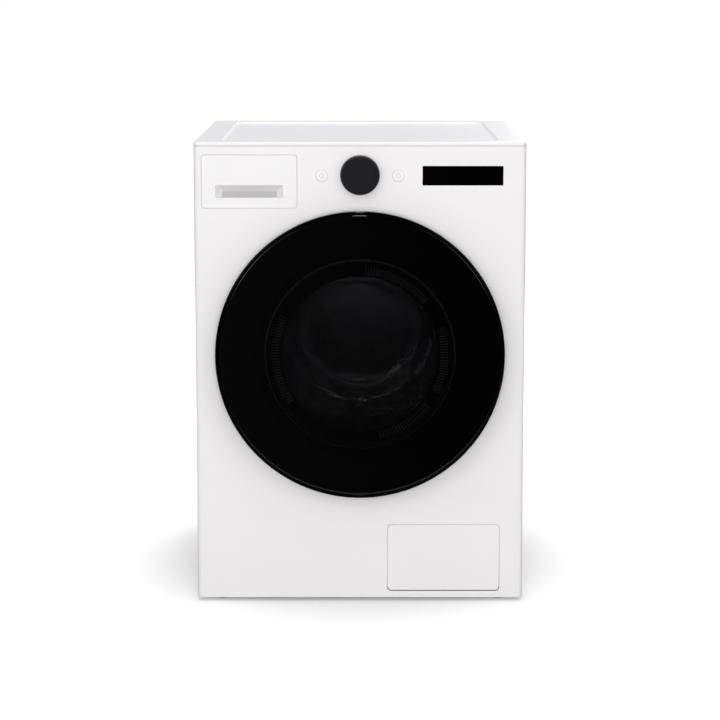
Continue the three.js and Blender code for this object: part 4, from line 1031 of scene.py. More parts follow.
def build_rear():
    low, high = edges_of("rear_panel")
    plate = prism("rear_sheet", rounded_rect(low.x, high.x, low.z, high.z, 2.0, 3), "Y", REAR_Y - SHEET,
                  REAR_Y)
    through = (REAR_Y - 4.0, REAR_Y + 4.0)
    cut(plate,
        prism("cut_service", circle(0.0, AXIS_Z, 160.0, 96), "Y", *through),
        prism("cut_drain", circle(318.0, 830.0, 15.0), "Y", *through),
        prism("cut_gland", circle(230.0, 900.0, 10.0), "Y", *through),
        prism("cut_hot", circle(INLET_X[0], INLET_Z, 14.5), "Y", *through),
        prism("cut_cold", circle(INLET_X[1], INLET_Z, 14.5), "Y", *through))
    bevelled(plate, 0.3, 1)
    ribs = [plate]
    for x in (-250.0, 250.0):
        for z0, z1 in ((150.0, 330.0), (420.0, 690.0)):
            pad = (x - 36, x + 36), (z0, z1)
            loops = [[(u, y, v) for u, v in inset_rect(*pad, inset, 16.0 - inset / 2)]
                     for inset, y in ((0.0, REAR_Y - 0.4), (0.0, REAR_Y + 0.1), (1.2, REAR_Y + 1.2),
                                      (3.6, REAR_Y + 1.8))]
            ribs.append(loft("stiffening_pad", loops, 60.0))
    fit(gathered("rear_panel_skin", ribs, 40.0), zinc, "cabinet", "galvanised_steel", "rear_panel")
    for name, x in (("left_vents", -250.0), ("right_vents", 250.0)):
        values = {"Copy": louvre_shape(), "Columns": 1, "Rows": 5,
                  "Start": (x * MM, (REAR_Y + 0.1) * MM, 0.745), "Column Step": (0.0, 0.0, 0.0),
                  "Row Step": (0.0, 0.0, 0.0115)}
        fit(grown(name, rows_tree, values, zinc), zinc, "cabinet", "galvanised_steel")
    spots = [(x, REAR_Y + 0.05, z) for x in (-340.0, 340.0) for z in (30.0, 255.0, 480.0, 705.0, 965.0)]
    spots += [(x, REAR_Y + 0.05, z) for x in (-170.0, 0.0, 170.0) for z in (24.0, 970.0)]
    screws("rear_panel_screws", spots, "rear", "galvanised_steel")
    face = REAR_Y + 0.3
    cover = [(0.0, face + 4.5), (36.0, face + 4.5), (38.0, face + 2.6), (60.0, face + 2.6),
             (62.0, face + 4.5), (140.0, face + 4.5), (154.0, face), (172.0, face), (172.0, face + 1.2),
             (154.5, face + 1.2), (140.5, face + 5.7), (61.5, face + 5.7), (59.5, face + 3.8),
             (38.5, face + 3.8), (36.5, face + 5.7), (0.0, face + 5.7)]
    lid = turned("service_cover_skin", cover, soft=1.4, sides=120)
    fit(lid, zinc, "cabinet", "galvanised_steel", "rear_service_cover")
    screws("service_cover_screws", on_ring(163.0, 8, face + 1.2), "rear", "galvanised_steel")


def build_feet():
    for name in ("front_left", "rear_left", "front_right", "rear_right"):
        low, high = edges_of(name + "_foot")
        x, y = (low.x + high.x) / 2, (low.y + high.y) / 2
        pad = [(0.0, 0.0), (23.0, 0.0), (24.5, 0.6), (26.0, 3.0), (25.4, 5.6), (22.6, 8.4), (17.0, 9.0),
               (0.0, 9.0)]
        sole = turned(name + "_pad", pad, x, y, 48, 0.5, "Z")
        fit(sole, black_rubber, name + "_leg", "rubber", name + "_foot")
        stem = [(0.0, 8.5), (9.0, 8.5), (9.0, 11.4), (6.2, 11.6)]
        z = 12.4
        while z < 43.0:
            stem += [(6.0, z), (5.3, z + 0.55), (5.3, z + 0.75), (6.0, z + 1.3)]
            z += 1.5
        stem += [(5.2, 45.0), (0.0, 45.0)]
        fit(turned(name + "_stem", stem, x, y, 24, 0.0, "Z"), screw_steel, name + "_leg",
            "galvanised_steel")
        nut = [(x + 11.0 * math.cos(TURN * k / 6), y + 11.0 * math.sin(TURN * k / 6)) for k in range(6)]
        fit(bevelled(prism(name + "_nut", nut, "Z", 8.7, 11.6), 0.6), screw_steel, name + "_leg",
            "galvanised_steel")


def pressed_bead(name, x, y, z):
    """A long low bead pressed into a sheet, standing above z."""
    loops = [[(u, v, level) for u, v in inset_rect(x, y, inset, 8.0 - inset * 0.6, 3)]
             for inset, level in ((0.0, z - 0.6), (0.0, z), (1.5, z + 2.2), (4.0, z + 3.0))]
    return loft(name, loops, 60.0)


def build_base_pan():
    pan = refined("base_pan", "base_pan_shell", 0.4, 1)
    beads = [pressed_bead("bead", (x - 14.0, x + 14.0), (-250.0, 300.0), 13.3) for x in (-120.0, 0.0)]
    fit(gathered("base_pan_skin", [pan] + beads, 40.0), zinc, "cabinet", "galvanised_steel", "base_pan")
    skinned("cross_brace", "cross_brace_skin", zinc, "cabinet", "galvanised_steel", 0.5)


# ---------------------------------------------------------------- controls


def build_controls():
    pane = [[(u, y, v) for u, v in inset_rect(SCREEN_X, SCREEN_Z, i, 1.5)]
            for i, y in ((0.0, -366.4), (0.0, -369.7), (0.25, -369.95), (0.6, -370.0))]
    skirt = block("skirt", (129.0, 304.0), (-368.5, -366.4), (896.0, 942.0), 1.5)
    window = gathered("display_pane", [loft("pane", pane, 30.0), skirt], 30.0)
    fit(window, display_glass, "cabinet", "display_plastic", "display_window")
    face = -392.5
    knob = [(0.0, face + 0.35), (20.0, face + 0.3), (33.5, face + 0.1), (36.0, face),
            (37.4, face + 0.15), (39.6, face + 1.5), (40.9, face + 3.1), (41.35, face + 5.5),
            (41.35, -371.4), (40.8, -370.8), (38.5, -370.8), (38.5, face + 4.5), (8.0, face + 4.5),
            (8.0, -370.8), (3.0, -370.8), (3.0, -357.0), (0.0, -357.0)]
    dial = turned("dial_body", knob, 0.0, CONTROL_Z, 144, 0.35, angle=24.0)
    fit(dial, charcoal, "dial", "charcoal_plastic", "dial_knob")
    ridge = block("dial_ridge", (-0.42, 0.42), (-386.4, -372.2), (-0.25, 0.3), 0.2)
    grip = ringed("dial_grip_ridges", ridge, 96, 41.35, charcoal, centre=(0.0, 0.0, CONTROL_Z * MM))
    fit(grip, charcoal, "dial", "charcoal_plastic")
    for name, x in (("power", -BUTTON_X), ("start", BUTTON_X)):
        cap = [(0.0, -371.0), (9.6, -371.2), (11.4, -371.15), (12.2, -370.8), (12.5, -370.2),
               (12.5, -368.4), (14.2, -368.4), (14.2, -366.4), (3.0, -366.4), (3.0, -357.0), (0.0, -357.0)]
        button = turned(name + "_cap", cap, x, BUTTON_Z, 64, 0.15)
        fit(button, white_plastic, name, "white_plastic", name + "_button")
        mark = turned(name + "_mark", [(4.6, -371.25), (5.0, -371.25), (5.0, -371.0), (4.6, -371.0)], x,
                      BUTTON_Z, 48)
        fit(mark, grey_plastic, name, "grey_plastic")
    for node, name, material, slot in (("control_board", "control_board_skin", board, "circuit_board"),
                                       ("control_housing", "control_housing_skin", white_plastic,
                                        "white_plastic")):
        skinned(node, name, material, "cabinet", slot, 0.4)


# ---------------------------------------------------------------- detergent drawer


def bezel_ring(name, x, z, radius, y, inside, outside):
    """A flat ring behind an opening, with a little room inside it and some width outside."""
    loops = []
    for grow, depth in ((inside, y[1]), (inside, y[0]), (outside, y[0]), (outside, y[1])):
        outline = inset_rect(x, z, -grow, radius + grow)
        loops.append([(u, depth, v) for u, v in outline])
    count = len(loops[0])
    faces = []
    for level in range(4):
        a, b = level * count, (level + 1) % 4 * count
        faces += [(a + i, a + (i + 1) % count, b + (i + 1) % count, b + i) for i in range(count)]
    return new_piece(name, [point for loop in loops for point in loop], faces)


def build_drawer():
    low, high = DRAWER_LOW, DRAWER_HIGH
    grip_x, grip_z = (low.x + 27.9, high.x - 28.4), (low.z + 22.5, high.z - 63.0)
    face = FRONT_Y

    def rect(inset, radius):
        return rounded_rect(low.x + inset, high.x - inset, low.z + inset, high.z - inset, radius)

    loops = [(3.0, face + 30.0, 3.5), (0.0, face + 30.0, 6.5), (0.0, face + 1.1, 6.5),
             (0.3, face + 0.35, 6.2), (1.1, face, 5.6)]
    outer = loft("drawer_block", [[(x, y, z) for x, z in rect(inset, radius)]
                                  for inset, y, radius in loops], 30.0)
    room = prism("drawer_room", rect(3.0, 3.5), "Y", face + 3.0, face + 33.0)
    cut(outer, room)
    bed = block("grip_bed", (grip_x[0] - 2.5, grip_x[1] + 2.5), (face + 1.0, face + 23.5),
                (grip_z[0] - 6.0, grip_z[1] + 2.5), 2.0)
    cut(outer, bed, operation="UNION")
    deep = (grip_x[0] + 15.0, grip_x[1] - 15.0)
    points = [(x, face - 0.8, z) for x in grip_x for z in grip_z]
    points += [(x, face + 21.0, z) for x in deep for z in (grip_z[0], grip_z[1] - 14.0)]
    hull = bpy.data.meshes.new("grip_cut")
    work = bmesh.new()
    for point in points:
        work.verts.new(Vector(point) * MM)
    bmesh.ops.convex_hull(work, input=work.verts)
    bmesh.ops.recalc_face_normals(work, faces=work.faces)
    work.to_mesh(hull)
    work.free()
    scoop = bpy.data.objects.new("grip_cut", hull)
    scene.collection.objects.link(scoop)
    cut(outer, scoop, block("pocket_cut", deep, (face + 3.0, face + 20.8),
                            (grip_z[0] - 3.5, grip_z[0] + 9.0)))
    outer.name = "drawer_front_skin"
    fit(bevelled(outer, 0.7, 3, 24.0), white_plastic, "drawer", "white_plastic", "drawer_front")
    # A mid grey sheet over the back wall of the grip pocket, darker than the white plastic round it:
    # painted shade deep in the pocket.
    pocket_shade_loops = [[(x, y, z) for x, z in rounded_rect(deep[0] - grow, deep[1] + grow, grip_z[0] - 3.4, top,
                                                 1.5)]
             for y, grow, top in ((face + 20.9, -0.1, grip_z[0] + 12.0),
                                  (face + 19.9, -0.1, grip_z[0] + 12.0))]
    fit(loft("grip_liner", pocket_shade_loops), pocket_shade_grey, "drawer", "grey_plastic")
    bezel = bezel_ring("drawer_bezel", (low.x, high.x), (low.z, high.z), 6.5,
                       (FRONT_Y + 1.5, FRONT_Y + 4.0), 0.35, 4.0)
    fit(bezel, white_plastic, "cabinet", "white_plastic")
    skinned("drawer_tray", "drawer_tray_skin", tray_plastic, "drawer", "blue_plastic", 0.9, 3)
    siphon = [(0.0, 874.0), (7.0, 874.0), (9.0, 872.0), (10.0, 858.0), (10.0, 856.2), (0.0, 856.2)]
    for k, x in enumerate((-300.0, -160.5)):
        cap = turned("siphon_cap_" + str(k + 1), siphon, x, -150.0, 32, 0.6, "Z")
        fit(cap, blue_plastic, "drawer", "blue_plastic")
        bar = block("siphon_bar", (x - 9.0, x + 9.0), (-142.0, -137.0), (856.4, 868.0), 1.5)
        fit(bevelled(bar, 0.5), blue_plastic, "drawer", "blue_plastic")
    skinned("drawer_housing", "drawer_housing_skin", grey_plastic, "cabinet", "grey_plastic", 0.8)


# ---------------------------------------------------------------- door


def build_door():
    glass_line = [(0.0, DOOR_Y)]
    for radius in (60, 120, 170, 210, 245, 270, 285, 294):
        glass_line.append((float(radius), DOOR_Y + 0.5 * (radius / 294.0) ** 2))
    glass_line += [(297.3, DOOR_Y + 0.55), (297.8, DOOR_Y + 0.8), (298.0, DOOR_Y + 1.3), (298.0, -410.0),
                   (0.0, -410.0)]
    fit(turned("door_pane", glass_line, sides=160, angle=28.0), door_tint, "door", "tinted_glass",
        "door_glass")
    ring = [(298.3, -412.4), (299.0, -413.2), (304.0, -413.4), (305.6, -412.4), (306.0, -410.6),
            (306.0, -392.6), (304.9, -390.2), (291.6, -375.9), (290.6, -375.5), (272.0, -375.5),
            (272.0, -378.0), (289.8, -378.0), (303.3, -392.6), (303.5, -407.2), (280.0, -407.2),
            (280.0, -409.7), (298.3, -409.7)]
    frame_ring = turned("door_frame_ring", ring, sides=160, soft=0.35)
    notches = [block("notch", (-308.0, -285.0), (-409.2, -369.0),
                     (AXIS_Z + s * 40 - 7, AXIS_Z + s * 40 + 7)) for s in (-1, 1)]
    cut(frame_ring, *notches)
    fit(smooth(frame_ring), door_tint, "door", "charcoal_plastic", "door_frame")
    back = [(196.0, -406.0), (199.0, -406.0), (199.0, -378.4), (201.0, -378.0), (271.7, -378.0),
            (271.7, -375.9), (270.9, -375.5), (240.0, -375.5), (238.5, -374.6), (228.0, -374.6),
            (226.5, -375.5), (198.0, -375.5), (196.0, -376.6)]
    inner = turned("door_back_ring", back, sides=144, soft=0.3)
    slot_cut = block("slot_cut", (250.0, 276.0), (-382.0, -370.0), (531.0, 553.0), 2.0)
    cut(inner, slot_cut)
    ears = [block("ear", (254.0, 270.0), (-395.5, -376.8), z, 1.0)
            for z in ((553.5, 558.0), (526.0, 530.5))]
    inner = gathered("door_back_skin", [smooth(inner)] + ears, 32.0)
    fit(inner, black_plastic, "door", "black_plastic", "door_inner_ring")
    rib = block("back_rib", (-1.0, 1.0), (-404.0, -377.5), (0.0, 68.0))
    ribs = ringed("door_back_ribs", rib, 24, 199.5, black_plastic, TURN / 48)
    fit(ribs, black_plastic, "door", "black_plastic")
    screws("door_back_screws", on_ring(255.0, 10, -375.45, (2,)), "rear", "black_plastic", "door", 4.0)
    bowl_line = curved([(195.0, -381.5), (188.0, -381.5), (181.0, -380.8), (177.0, -376.0),
                        (174.5, -366.0), (169.0, -350.0), (161.5, -330.0), (151.0, -308.0),
                        (137.0, -290.0), (124.0, -280.0), (107.0, -273.0), (92.0, -269.2),
                        (82.0, -267.8), (79.5, -269.4), (77.0, -267.2), (60.0, -267.0), (30.0, -267.0),
                        (0.0, -267.0)], 3)
    profile = wall(bowl_line, 5.6)
    fit(turned("door_bowl_glass", profile, sides=144, angle=60.0), bowl_glass, "door", "bowl_glass",
        "door_bowl")
    collar = [(165.5, -388.2), (166.6, -389.4), (191.6, -389.4), (192.6, -388.2), (192.6, -386.0),
              (191.0, -385.2), (167.5, -385.2), (165.5, -386.2)]
    fit(turned("bowl_clamp_ring", collar, sides=144, soft=0.3), black_gloss, "door", "black_plastic")
    bead = [(197.0, -390.5), (200.5, -391.4), (203.0, -390.5), (203.0, -386.0), (197.0, -386.0)]
    fit(turned("bowl_seal_bead", bead, sides=144, soft=0.6), grey_plastic, "door", "black_plastic")
    for name, start, sweep, count in (("upper_teeth", 4.0, 48.0, 26), ("right_teeth", 72.0, 46.0, 25),
                                      ("left_teeth", 236.0, 62.0, 32), ("lower_teeth", 128.0, 40.0, 20)):
        tooth = block("tooth", (-0.9, 0.9), (-391.4, -389.0), (0.0, 17.0), 0.5)
        angles = math.radians(start), math.radians(sweep)
        teeth = ringed("bowl_" + name, tooth, count, 170.5, grey_plastic, *angles)
        fit(teeth, grey_plastic, "door", "black_plastic")
    skinned("latch_hook", "latch_hook_skin", aluminium, "latch", "cast_aluminium", 0.7, 3)
    for node, metal, body, slot in (("hinge_bracket", aluminium, "cabinet", "cast_aluminium"),
                                    ("hinge_leaf", aluminium, "door", "cast_aluminium"),
                                    ("hinge_pin", screw_steel, "cabinet", "stainless_steel")):
        skinned(node, node + "_skin", metal, body, slot, 0.4)
    skinned("door_lock", "door_lock_skin", black_plastic, "cabinet", "black_plastic", 0.8)


def build_gasket():
    line = curved([(214.0, -361.0), (210.0, -361.6), (205.0, -364.2), (198.0, -364.6), (191.0, -360.6),
                   (184.0, -355.0), (180.5, -349.5), (182.0, -345.2), (187.0, -344.0), (197.0, -346.8),
                   (204.0, -347.2), (208.0, -343.4), (208.6, -336.0), (205.2, -330.4), (202.0, -326.0),
                   (201.3, -318.0), (201.3, -308.0)], 3)
    boot = turned("gasket_boot", wall(line, 2.8), sides=144, angle=60.0)
    fixed, moving = (0.0, -0.366, AXIS_Z * MM), (0.0, -0.308, AXIS_Z * MM)
    blended(boot, rubber, "rubber", fixed, moving, "door_gasket")


# ---------------------------------------------------------------- filter flap


def build_flap():
    low, high = FLAP_LOW, FLAP_HIGH
    loops = []
    for inset, y in ((2.0, FRONT_Y + 2.4), (0.0, FRONT_Y + 2.2), (0.0, FRONT_Y + 0.7),
                     (0.25, FRONT_Y + 0.2), (0.8, FRONT_Y)):
        outline = inset_rect((low.x, high.x), (low.z, high.z), inset, 8.3 - inset)
        loops.append([(x, y, z) for x, z in outline])
    door = loft("filter_flap_skin", loops, 30.0)
    fit(flattened(door), enamel, "flap", "white_enamel", "filter_flap")
    ring = bezel_ring("flap_bezel", (low.x, high.x), (low.z, high.z), 8.3,
                      (FRONT_Y + 2.7, FRONT_Y + 4.2), -4.0, 4.5)
    swing = block("flap_swing", (low.x - 12, high.x + 12), (FRONT_Y, FRONT_Y + 12),
                  (low.z - 12, low.z + 8))
    fit(smooth(cut(ring, swing)), enamel, "cabinet", "white_enamel")
    flange = -362.0
    cap = [(0.0, flange), (20.0, flange), (22.0, flange + 1.2), (29.0, flange + 1.2), (31.0, flange),
           (36.0, flange), (37.0, flange + 1.0), (37.0, -350.6), (33.5, -350.4), (33.5, -336.0),
           (29.0, -334.0), (27.5, -333.0), (27.5, -292.0), (0.0, -292.0)]
    body = turned("filter_cap_body", cap, PUMP_X, PUMP_Z, 64, 0.5)
    bar = bevelled(block("cap_bar", (PUMP_X - 28, PUMP_X + 28), (flange - 4.0, flange + 1.5),
                         (PUMP_Z - 5, PUMP_Z + 5), 3.0), 1.0, 3)
    fit(gathered("filter_cap_skin", [body, bar]), grey_plastic, "filter", "grey_plastic", "filter_cap")
    skinned("pump_body", "pump_skin", grey_plastic, "cabinet", "grey_plastic", 0.8)


build_front_panel()
build_top_cover()
build_side_panel(-1, "left_side_panel")
build_side_panel(1, "right_side_panel")
build_rear()
build_feet()
build_base_pan()
build_controls()
build_drawer()
build_door()
build_gasket()
build_flap()

# ---------------------------------------------------------------- drum

DRUM_RADIUS = 268.0
DRUM_FRONT, DRUM_REAR = -255.5, 185.5


def drum_cell(width, pitch, hole, thickness):
    """One cell of the drum wall: a small plate with a round hole, standing on the wall at +Z."""
    rim = [(-0.5, -0.5), (0.0, -0.5), (0.5, -0.5), (0.5, 0.0), (0.5, 0.5), (0.0, 0.5), (-0.5, 0.5),
           (-0.5, 0.0)]
    points = []
    for level in (thickness / 2, -thickness / 2):
        wide = width * (1.0 + level / DRUM_RADIUS)
        points += [(u * wide, v * pitch, level) for u, v in rim]
        turn = [math.atan2(v, u) for u, v in rim]
        dip = 0.35 if level < 0 else 0.0
        points += [(hole * math.cos(a), hole * math.sin(a), level + dip) for a in turn]
    faces = []
    for i in range(8):
        j = (i + 1) % 8
        faces.append((i, j, 8 + j, 8 + i))
        faces.append((16 + j, 16 + i, 24 + i, 24 + j))
        faces.append((8 + i, 8 + j, 24 + j, 24 + i))
    data = bpy.data.meshes.new("drum_cell")
    data.from_pydata([Vector(point) * MM for point in points], [], faces)
    cell = bpy.data.objects.new("drum_cell", data)
    scene.collection.objects.link(cell)
    return cell


def build_drum():
    around, rows = 84, 24
    pitch = (DRUM_REAR - DRUM_FRONT) / rows
    cell = drum_cell(TURN * DRUM_RADIUS / around, pitch, 2.4, 1.0)
    values = {"Copy": cell, "Around": around, "Rows": rows, "Radius": DRUM_RADIUS * MM,
              "Start": (DRUM_FRONT + pitch / 2) * MM, "Pitch": pitch * MM, "Centre": AXIS}
    wall_piece = grown("pierced_drum_wall", pierced_tree, values, steel, angle=50.0)
    front_line = [(186.5, -266.6), (185.6, -268.4), (186.4, -271.6), (188.4, -274.4), (191.5, -275.5),
                  (236.0, -275.5), (243.0, -273.6), (250.0, -268.6), (262.0, -259.8), (266.4, -256.2),
                  (268.0, -252.4), (268.0, -250.0)]
    front = turned("drum_front_lip", wall(curved(front_line, 3), 1.0), sides=168, angle=60.0)
    back_line = [(268.0, 180.0), (268.0, 183.4), (266.4, 187.4), (262.0, 191.4), (256.0, 193.8),
                 (250.0, 194.4), (232.0, 194.4), (228.0, 191.2), (206.0, 191.2), (202.0, 194.4),
                 (182.0, 194.4), (178.0, 191.2), (156.0, 191.2), (152.0, 194.4), (120.0, 194.4),
                 (108.0, 191.0), (100.0, 189.4), (44.0, 189.4), (0.0, 189.4)]
    back = turned("drum_back", wall(back_line, 1.0), sides=168, angle=60.0)
    # Black discs on the back of the drum, where its holes would show dark: painted shade.
    dimple = turned("dimple", [(0.0, 188.2), (2.6, 188.2), (3.0, 188.9), (0.0, 188.9)], 0.0, 0.0, 10)
    back_holes = ringed("back_holes", dimple, 30, 75.0, black_plastic)
    fit(gathered("drum_skin", [wall_piece, front, back], 50.0), steel, "drum", "stainless_steel",
        "drum_shell")
    fit(back_holes, black_plastic, "drum", "black_plastic")
    badge = turned("drum_centre_plate", [(0.0, 186.6), (38.0, 187.0), (41.0, 188.0), (42.0, 189.2),
                                         (0.0, 189.2)], sides=96, soft=0.4)
    fit(badge, steel, "drum", "stainless_steel")
    for name in ("bottom_baffle", "left_baffle", "right_baffle"):
        skinned(name, name + "_skin", baffle_plastic, "drum", "grey_plastic", 5.0, 4)


build_drum()

# ---------------------------------------------------------------- tub, motor and what hangs them


def build_tub():
    front_line = [(199.5, -324.0), (199.5, -300.0), (289.5, -300.0), (289.5, -23.0), (296.0, -22.0),
                  (296.0, -20.2), (286.0, -20.2), (286.0, -296.5), (196.0, -296.5), (196.0, -324.0)]
    rear_line = [(286.0, -19.8), (296.0, -19.8), (296.0, -18.0), (289.5, -17.0), (289.5, 250.0),
                 (44.0, 250.0), (40.0, 281.6), (31.3, 281.6), (31.3, 260.8), (28.0, 260.8),
                 (28.0, 242.0), (36.3, 242.0), (36.3, 210.2), (44.0, 210.2), (44.0, 246.5), (286.0, 246.5)]
    for name, line, y, hoops, node in (("tub_front_skin", front_line, (-292.0, -26.0),
                                        (-240.0, -160.0, -90.0), "tub_front"),
                                       ("tub_rear_skin", rear_line, (-14.0, 248.0), (40.0, 110.0, 190.0),
                                        "tub_rear")):
        parts = [turned("tub_wall", line, sides=128, soft=0.8, angle=40.0)]
        for place_y in hoops:
            hoop = [(289.0, place_y - 3.0), (294.0, place_y - 1.6), (294.0, place_y + 1.6),
                    (289.0, place_y + 3.0)]
            parts.append(turned("hoop", hoop, sides=128, soft=0.5))
        rib = block("rib", (-1.2, 1.2), y, (0.0, 5.5))
        parts.append(ringed("ribs", rib, 28, 288.8, tub_plastic))
        clip = block("clip", (-9.0, 9.0), (-25.0, -20.4) if y[0] < -200 else (-19.6, -15.0), (0.0, 8.0),
                     1.0)
        parts.append(ringed("clips", clip, 14, 291.0, tub_plastic, TURN / 56))
        if node == "tub_rear":
            spoke = block("spoke", (-1.5, 1.5), (249.6, 258.0), (0.0, 132.0))
            parts.append(ringed("spokes", spoke, 18, 152.0, tub_plastic))
            hoop = [(208.0, 249.6), (208.0, 256.0), (211.0, 256.0), (211.0, 249.6)]
            parts.append(turned("rear_hoop", hoop, sides=128, soft=0.5))
        shell = gathered(name, parts, 40.0)
        fit(shell, tub_plastic, "tub", "tub_plastic")
        rest = tub_fittings(node)
        fit(rest, tub_plastic, "tub", "tub_plastic", node)


def tub_fittings(node):
    """The lugs, spout and sump of one half of the tub."""
    parts = []
    if node == "tub_front":
        for side in (-1, 1):
            x = sorted((side * 222.0, side * 248.0))
            parts.append(block("spring_lug", x, (-57.0, -33.0), (700.0, 749.2), 2.0))
        spout = [(16.0, 760.0), (16.0, 800.0), (13.0, 800.0), (13.0, 760.0)]
        parts.append(turned("dispenser_spout", spout, SPOUT_X, SPOUT_Y, 40, 0.4, "Z"))
        return bevelled(gathered("tub_front_fittings", parts), 0.6)
    for side in (-1, 1):
        x = sorted((side * 188.0, side * 212.0))
        parts.append(block("damper_lug", x, (28.0, 52.0), (305.0, 336.0), 2.0))
    low, high = (-55.0, -10.0, 223.5), (55.0, 200.0, 262.0)
    sump = [[(x, y, z) for x, y in inset_rect((low[0], high[0]), (low[1], high[1]), grow, 8.0)]
            for z, grow in ((high[2], 0.0), (low[2] + 2.0, 0.0), (low[2], 2.0))]
    parts.append(loft("sump", sump))
    spout = [(14.0, 205.5), (14.0, 224.0), (11.0, 224.0), (11.0, 205.5)]
    parts.append(turned("sump_spout", spout, 30.0, 120.0, 40, 0.4, "Z"))
    return bevelled(gathered("tub_rear_fittings", parts), 0.6)


STATOR_TEETH = 36


def build_motor():
    core = [(70.0, 250.3), (82.0, 250.3), (82.0, 264.3), (92.0, 266.0), (92.0, 286.0), (82.0, 288.0),
            (70.0, 288.0)]
    parts = [turned("core", core, sides=96, soft=0.5)]
    tooth = block("tooth", (-3.0, 3.0), (268.0, 284.0), (0.0, 38.0))
    parts.append(ringed("teeth", tooth, STATOR_TEETH, 91.5, iron))
    tip = block("tip", (-9.0, 9.0), (266.0, 286.0), (0.0, 4.0))
    parts.append(ringed("tips", tip, STATOR_TEETH, 130.5, iron))
    fit(gathered("stator_core", parts), iron, "tub", "motor_iron", "stator")
    coil = bevelled(block("coil", (-6.4, 6.4), (265.0, 287.4), (0.0, 32.0)), 2.0, 2)
    fit(ringed("stator_coils", coil, STATOR_TEETH, 95.5, copper), copper, "tub", "motor_iron")
    cup = [(12.8, 296.0), (30.0, 296.0), (30.0, 299.0), (139.0, 299.0), (139.0, 266.0), (147.0, 266.0),
           (147.0, 299.5), (144.5, 302.0), (118.0, 302.0), (114.0, 303.5), (60.0, 303.5), (56.0, 302.0),
           (30.0, 302.0), (30.0, 305.0), (12.8, 305.0)]
    rotor = turned("rotor_cup", cup, sides=120, soft=0.6)
    slots = [prism("slot", [(radius * math.sin(a), AXIS_Z + radius * math.cos(a))
                            for a, radius in outline],
                   "Y", 294.0, 308.0) for outline in rotor_slots()]
    cut(rotor, *slots)
    fit(flattened(smooth(rotor)), zinc, "drum", "galvanised_steel", "rotor")
    magnet = block("magnet", (-7.0, 7.0), (268.0, 292.0), (-3.4, 0.2), 0.8)
    fit(ringed("rotor_magnets", magnet, 48, 139.0, charcoal), charcoal, "drum", "motor_iron")
    bolt = [(11.0 * math.cos(TURN * k / 6), AXIS_Z + 11.0 * math.sin(TURN * k / 6)) for k in range(6)]
    nut = bevelled(prism("rotor_bolt", bolt, "Y", 305.2, 313.0), 0.8)
    fit(nut, screw_steel, "drum", "galvanised_steel")
    skinned("drum_spider", "drum_spider_skin", aluminium, "drum", "cast_aluminium", 1.2, 2)


def rotor_slots():
    """Eight curved openings in the rotor's face, as lists of (angle, radius)."""
    outlines = []
    for k in range(8):
        middle = TURN * k / 8
        outer = [(middle + TURN / 16 * 0.62 * t, 108.0) for t in (-1.0, -0.5, 0.0, 0.5, 1.0)]
        inner = [(middle + TURN / 16 * 0.62 * t, 72.0) for t in (1.0, 0.5, 0.0, -0.5, -1.0)]
        outlines.append(outer + inner)
    return outlines


def build_springs():
    for side, node in ((-1, "left_spring"), (1, "right_spring")):
        turns, wire, radius = 22, 1.9, 12.0
        x0, y0, low, high = side * 235.0, -45.0, 752.0, 946.0
        line = []
        for k in range(turns * 16 + 1):
            share = k / (turns * 16)
            angle = TURN * turns * share
            shrink = min(1.0, 0.35 + 8.0 * min(share, 1.0 - share))
            line.append((x0 + radius * shrink * math.cos(angle), y0 + radius * shrink * math.sin(angle),
                         low + (high - low) * share))
        coil = tube(node + "_coil", line, wire, 10, 1)
        blended(coil, screw_steel, "stainless_steel", (0.0, 0.0, 0.945), (0.0, 0.0, 0.752), node)


def ribbed(radius, ridge, count):
    """The radius of a ribbed hose from one end to the other, smooth at its cuffs."""
    def size(share):
        if share < 0.05 or share > 0.95:
            return radius
        return radius - ridge * 0.5 * (1.0 + math.cos(TURN * count * share))
    return size


def build_hoses():
    sump_line = [(30.0, 120.0, 205.2), (30.0, 120.0, 180.5), (34.0, 50.0, 120.0), (47.65, -120.0, 97.9),
                 (62.65, -230.0, 95.9), (87.65, -270.0, 95.9), (117.35, -270.0, 95.9)]
    boot = tube("sump_boot", sump_line, ribbed(14.0, 2.2, 26), 24, 28)
    blended(boot, black_rubber, "rubber", (0.0, 0.0, 0.1), (0.0, 0.0, 0.2), "sump_hose")
    drain_line = [(179.65, -250.0, 152.2), (179.65, -250.0, 171.9), (250.0, -190.0, 195.0),
                  (320.0, -100.0, 200.0), (320.0, 225.0, 215.0), (320.0, 330.0, 280.0),
                  (320.0, 343.0, 400.0), (320.0, 343.0, 770.0), (318.0, 365.0, 830.0),
                  (318.0, 384.7, 830.0)]
    pipe = tube("inner_drain_pipe", drain_line, ribbed(10.0, 1.6, 110), 16, 60)
    fit(pipe, grey_plastic, "cabinet", "grey_plastic", "drain_hose")
    fill_line = [(-205.0, 315.2, 925.0), (-205.0, 255.5, 925.0), (-208.0, 110.0, 915.0),
                 (-205.0, -37.0, 930.0), (-205.0, -87.7, 930.0)]
    fit(tube("fill_pipe", fill_line, 9.0, 20, 10), black_rubber, "cabinet", "rubber", "fill_hose")
    outline = [(16.6, 797.0), (19.0, 797.5), (19.0, 801.0)]
    z = 803.0
    while z < 826.0:
        outline += [(21.0, z), (18.6, z + 2.0)]
        z += 4.0
    outline += [(19.0, 829.0), (19.0, 832.0), (16.6, 832.5)]
    boot = turned("dispenser_bellows", outline, SPOUT_X, SPOUT_Y, 40, 0.5, "Z")
    blended(boot, rubber, "rubber", (0.0, 0.0, 0.828), (0.0, 0.0, 0.800))


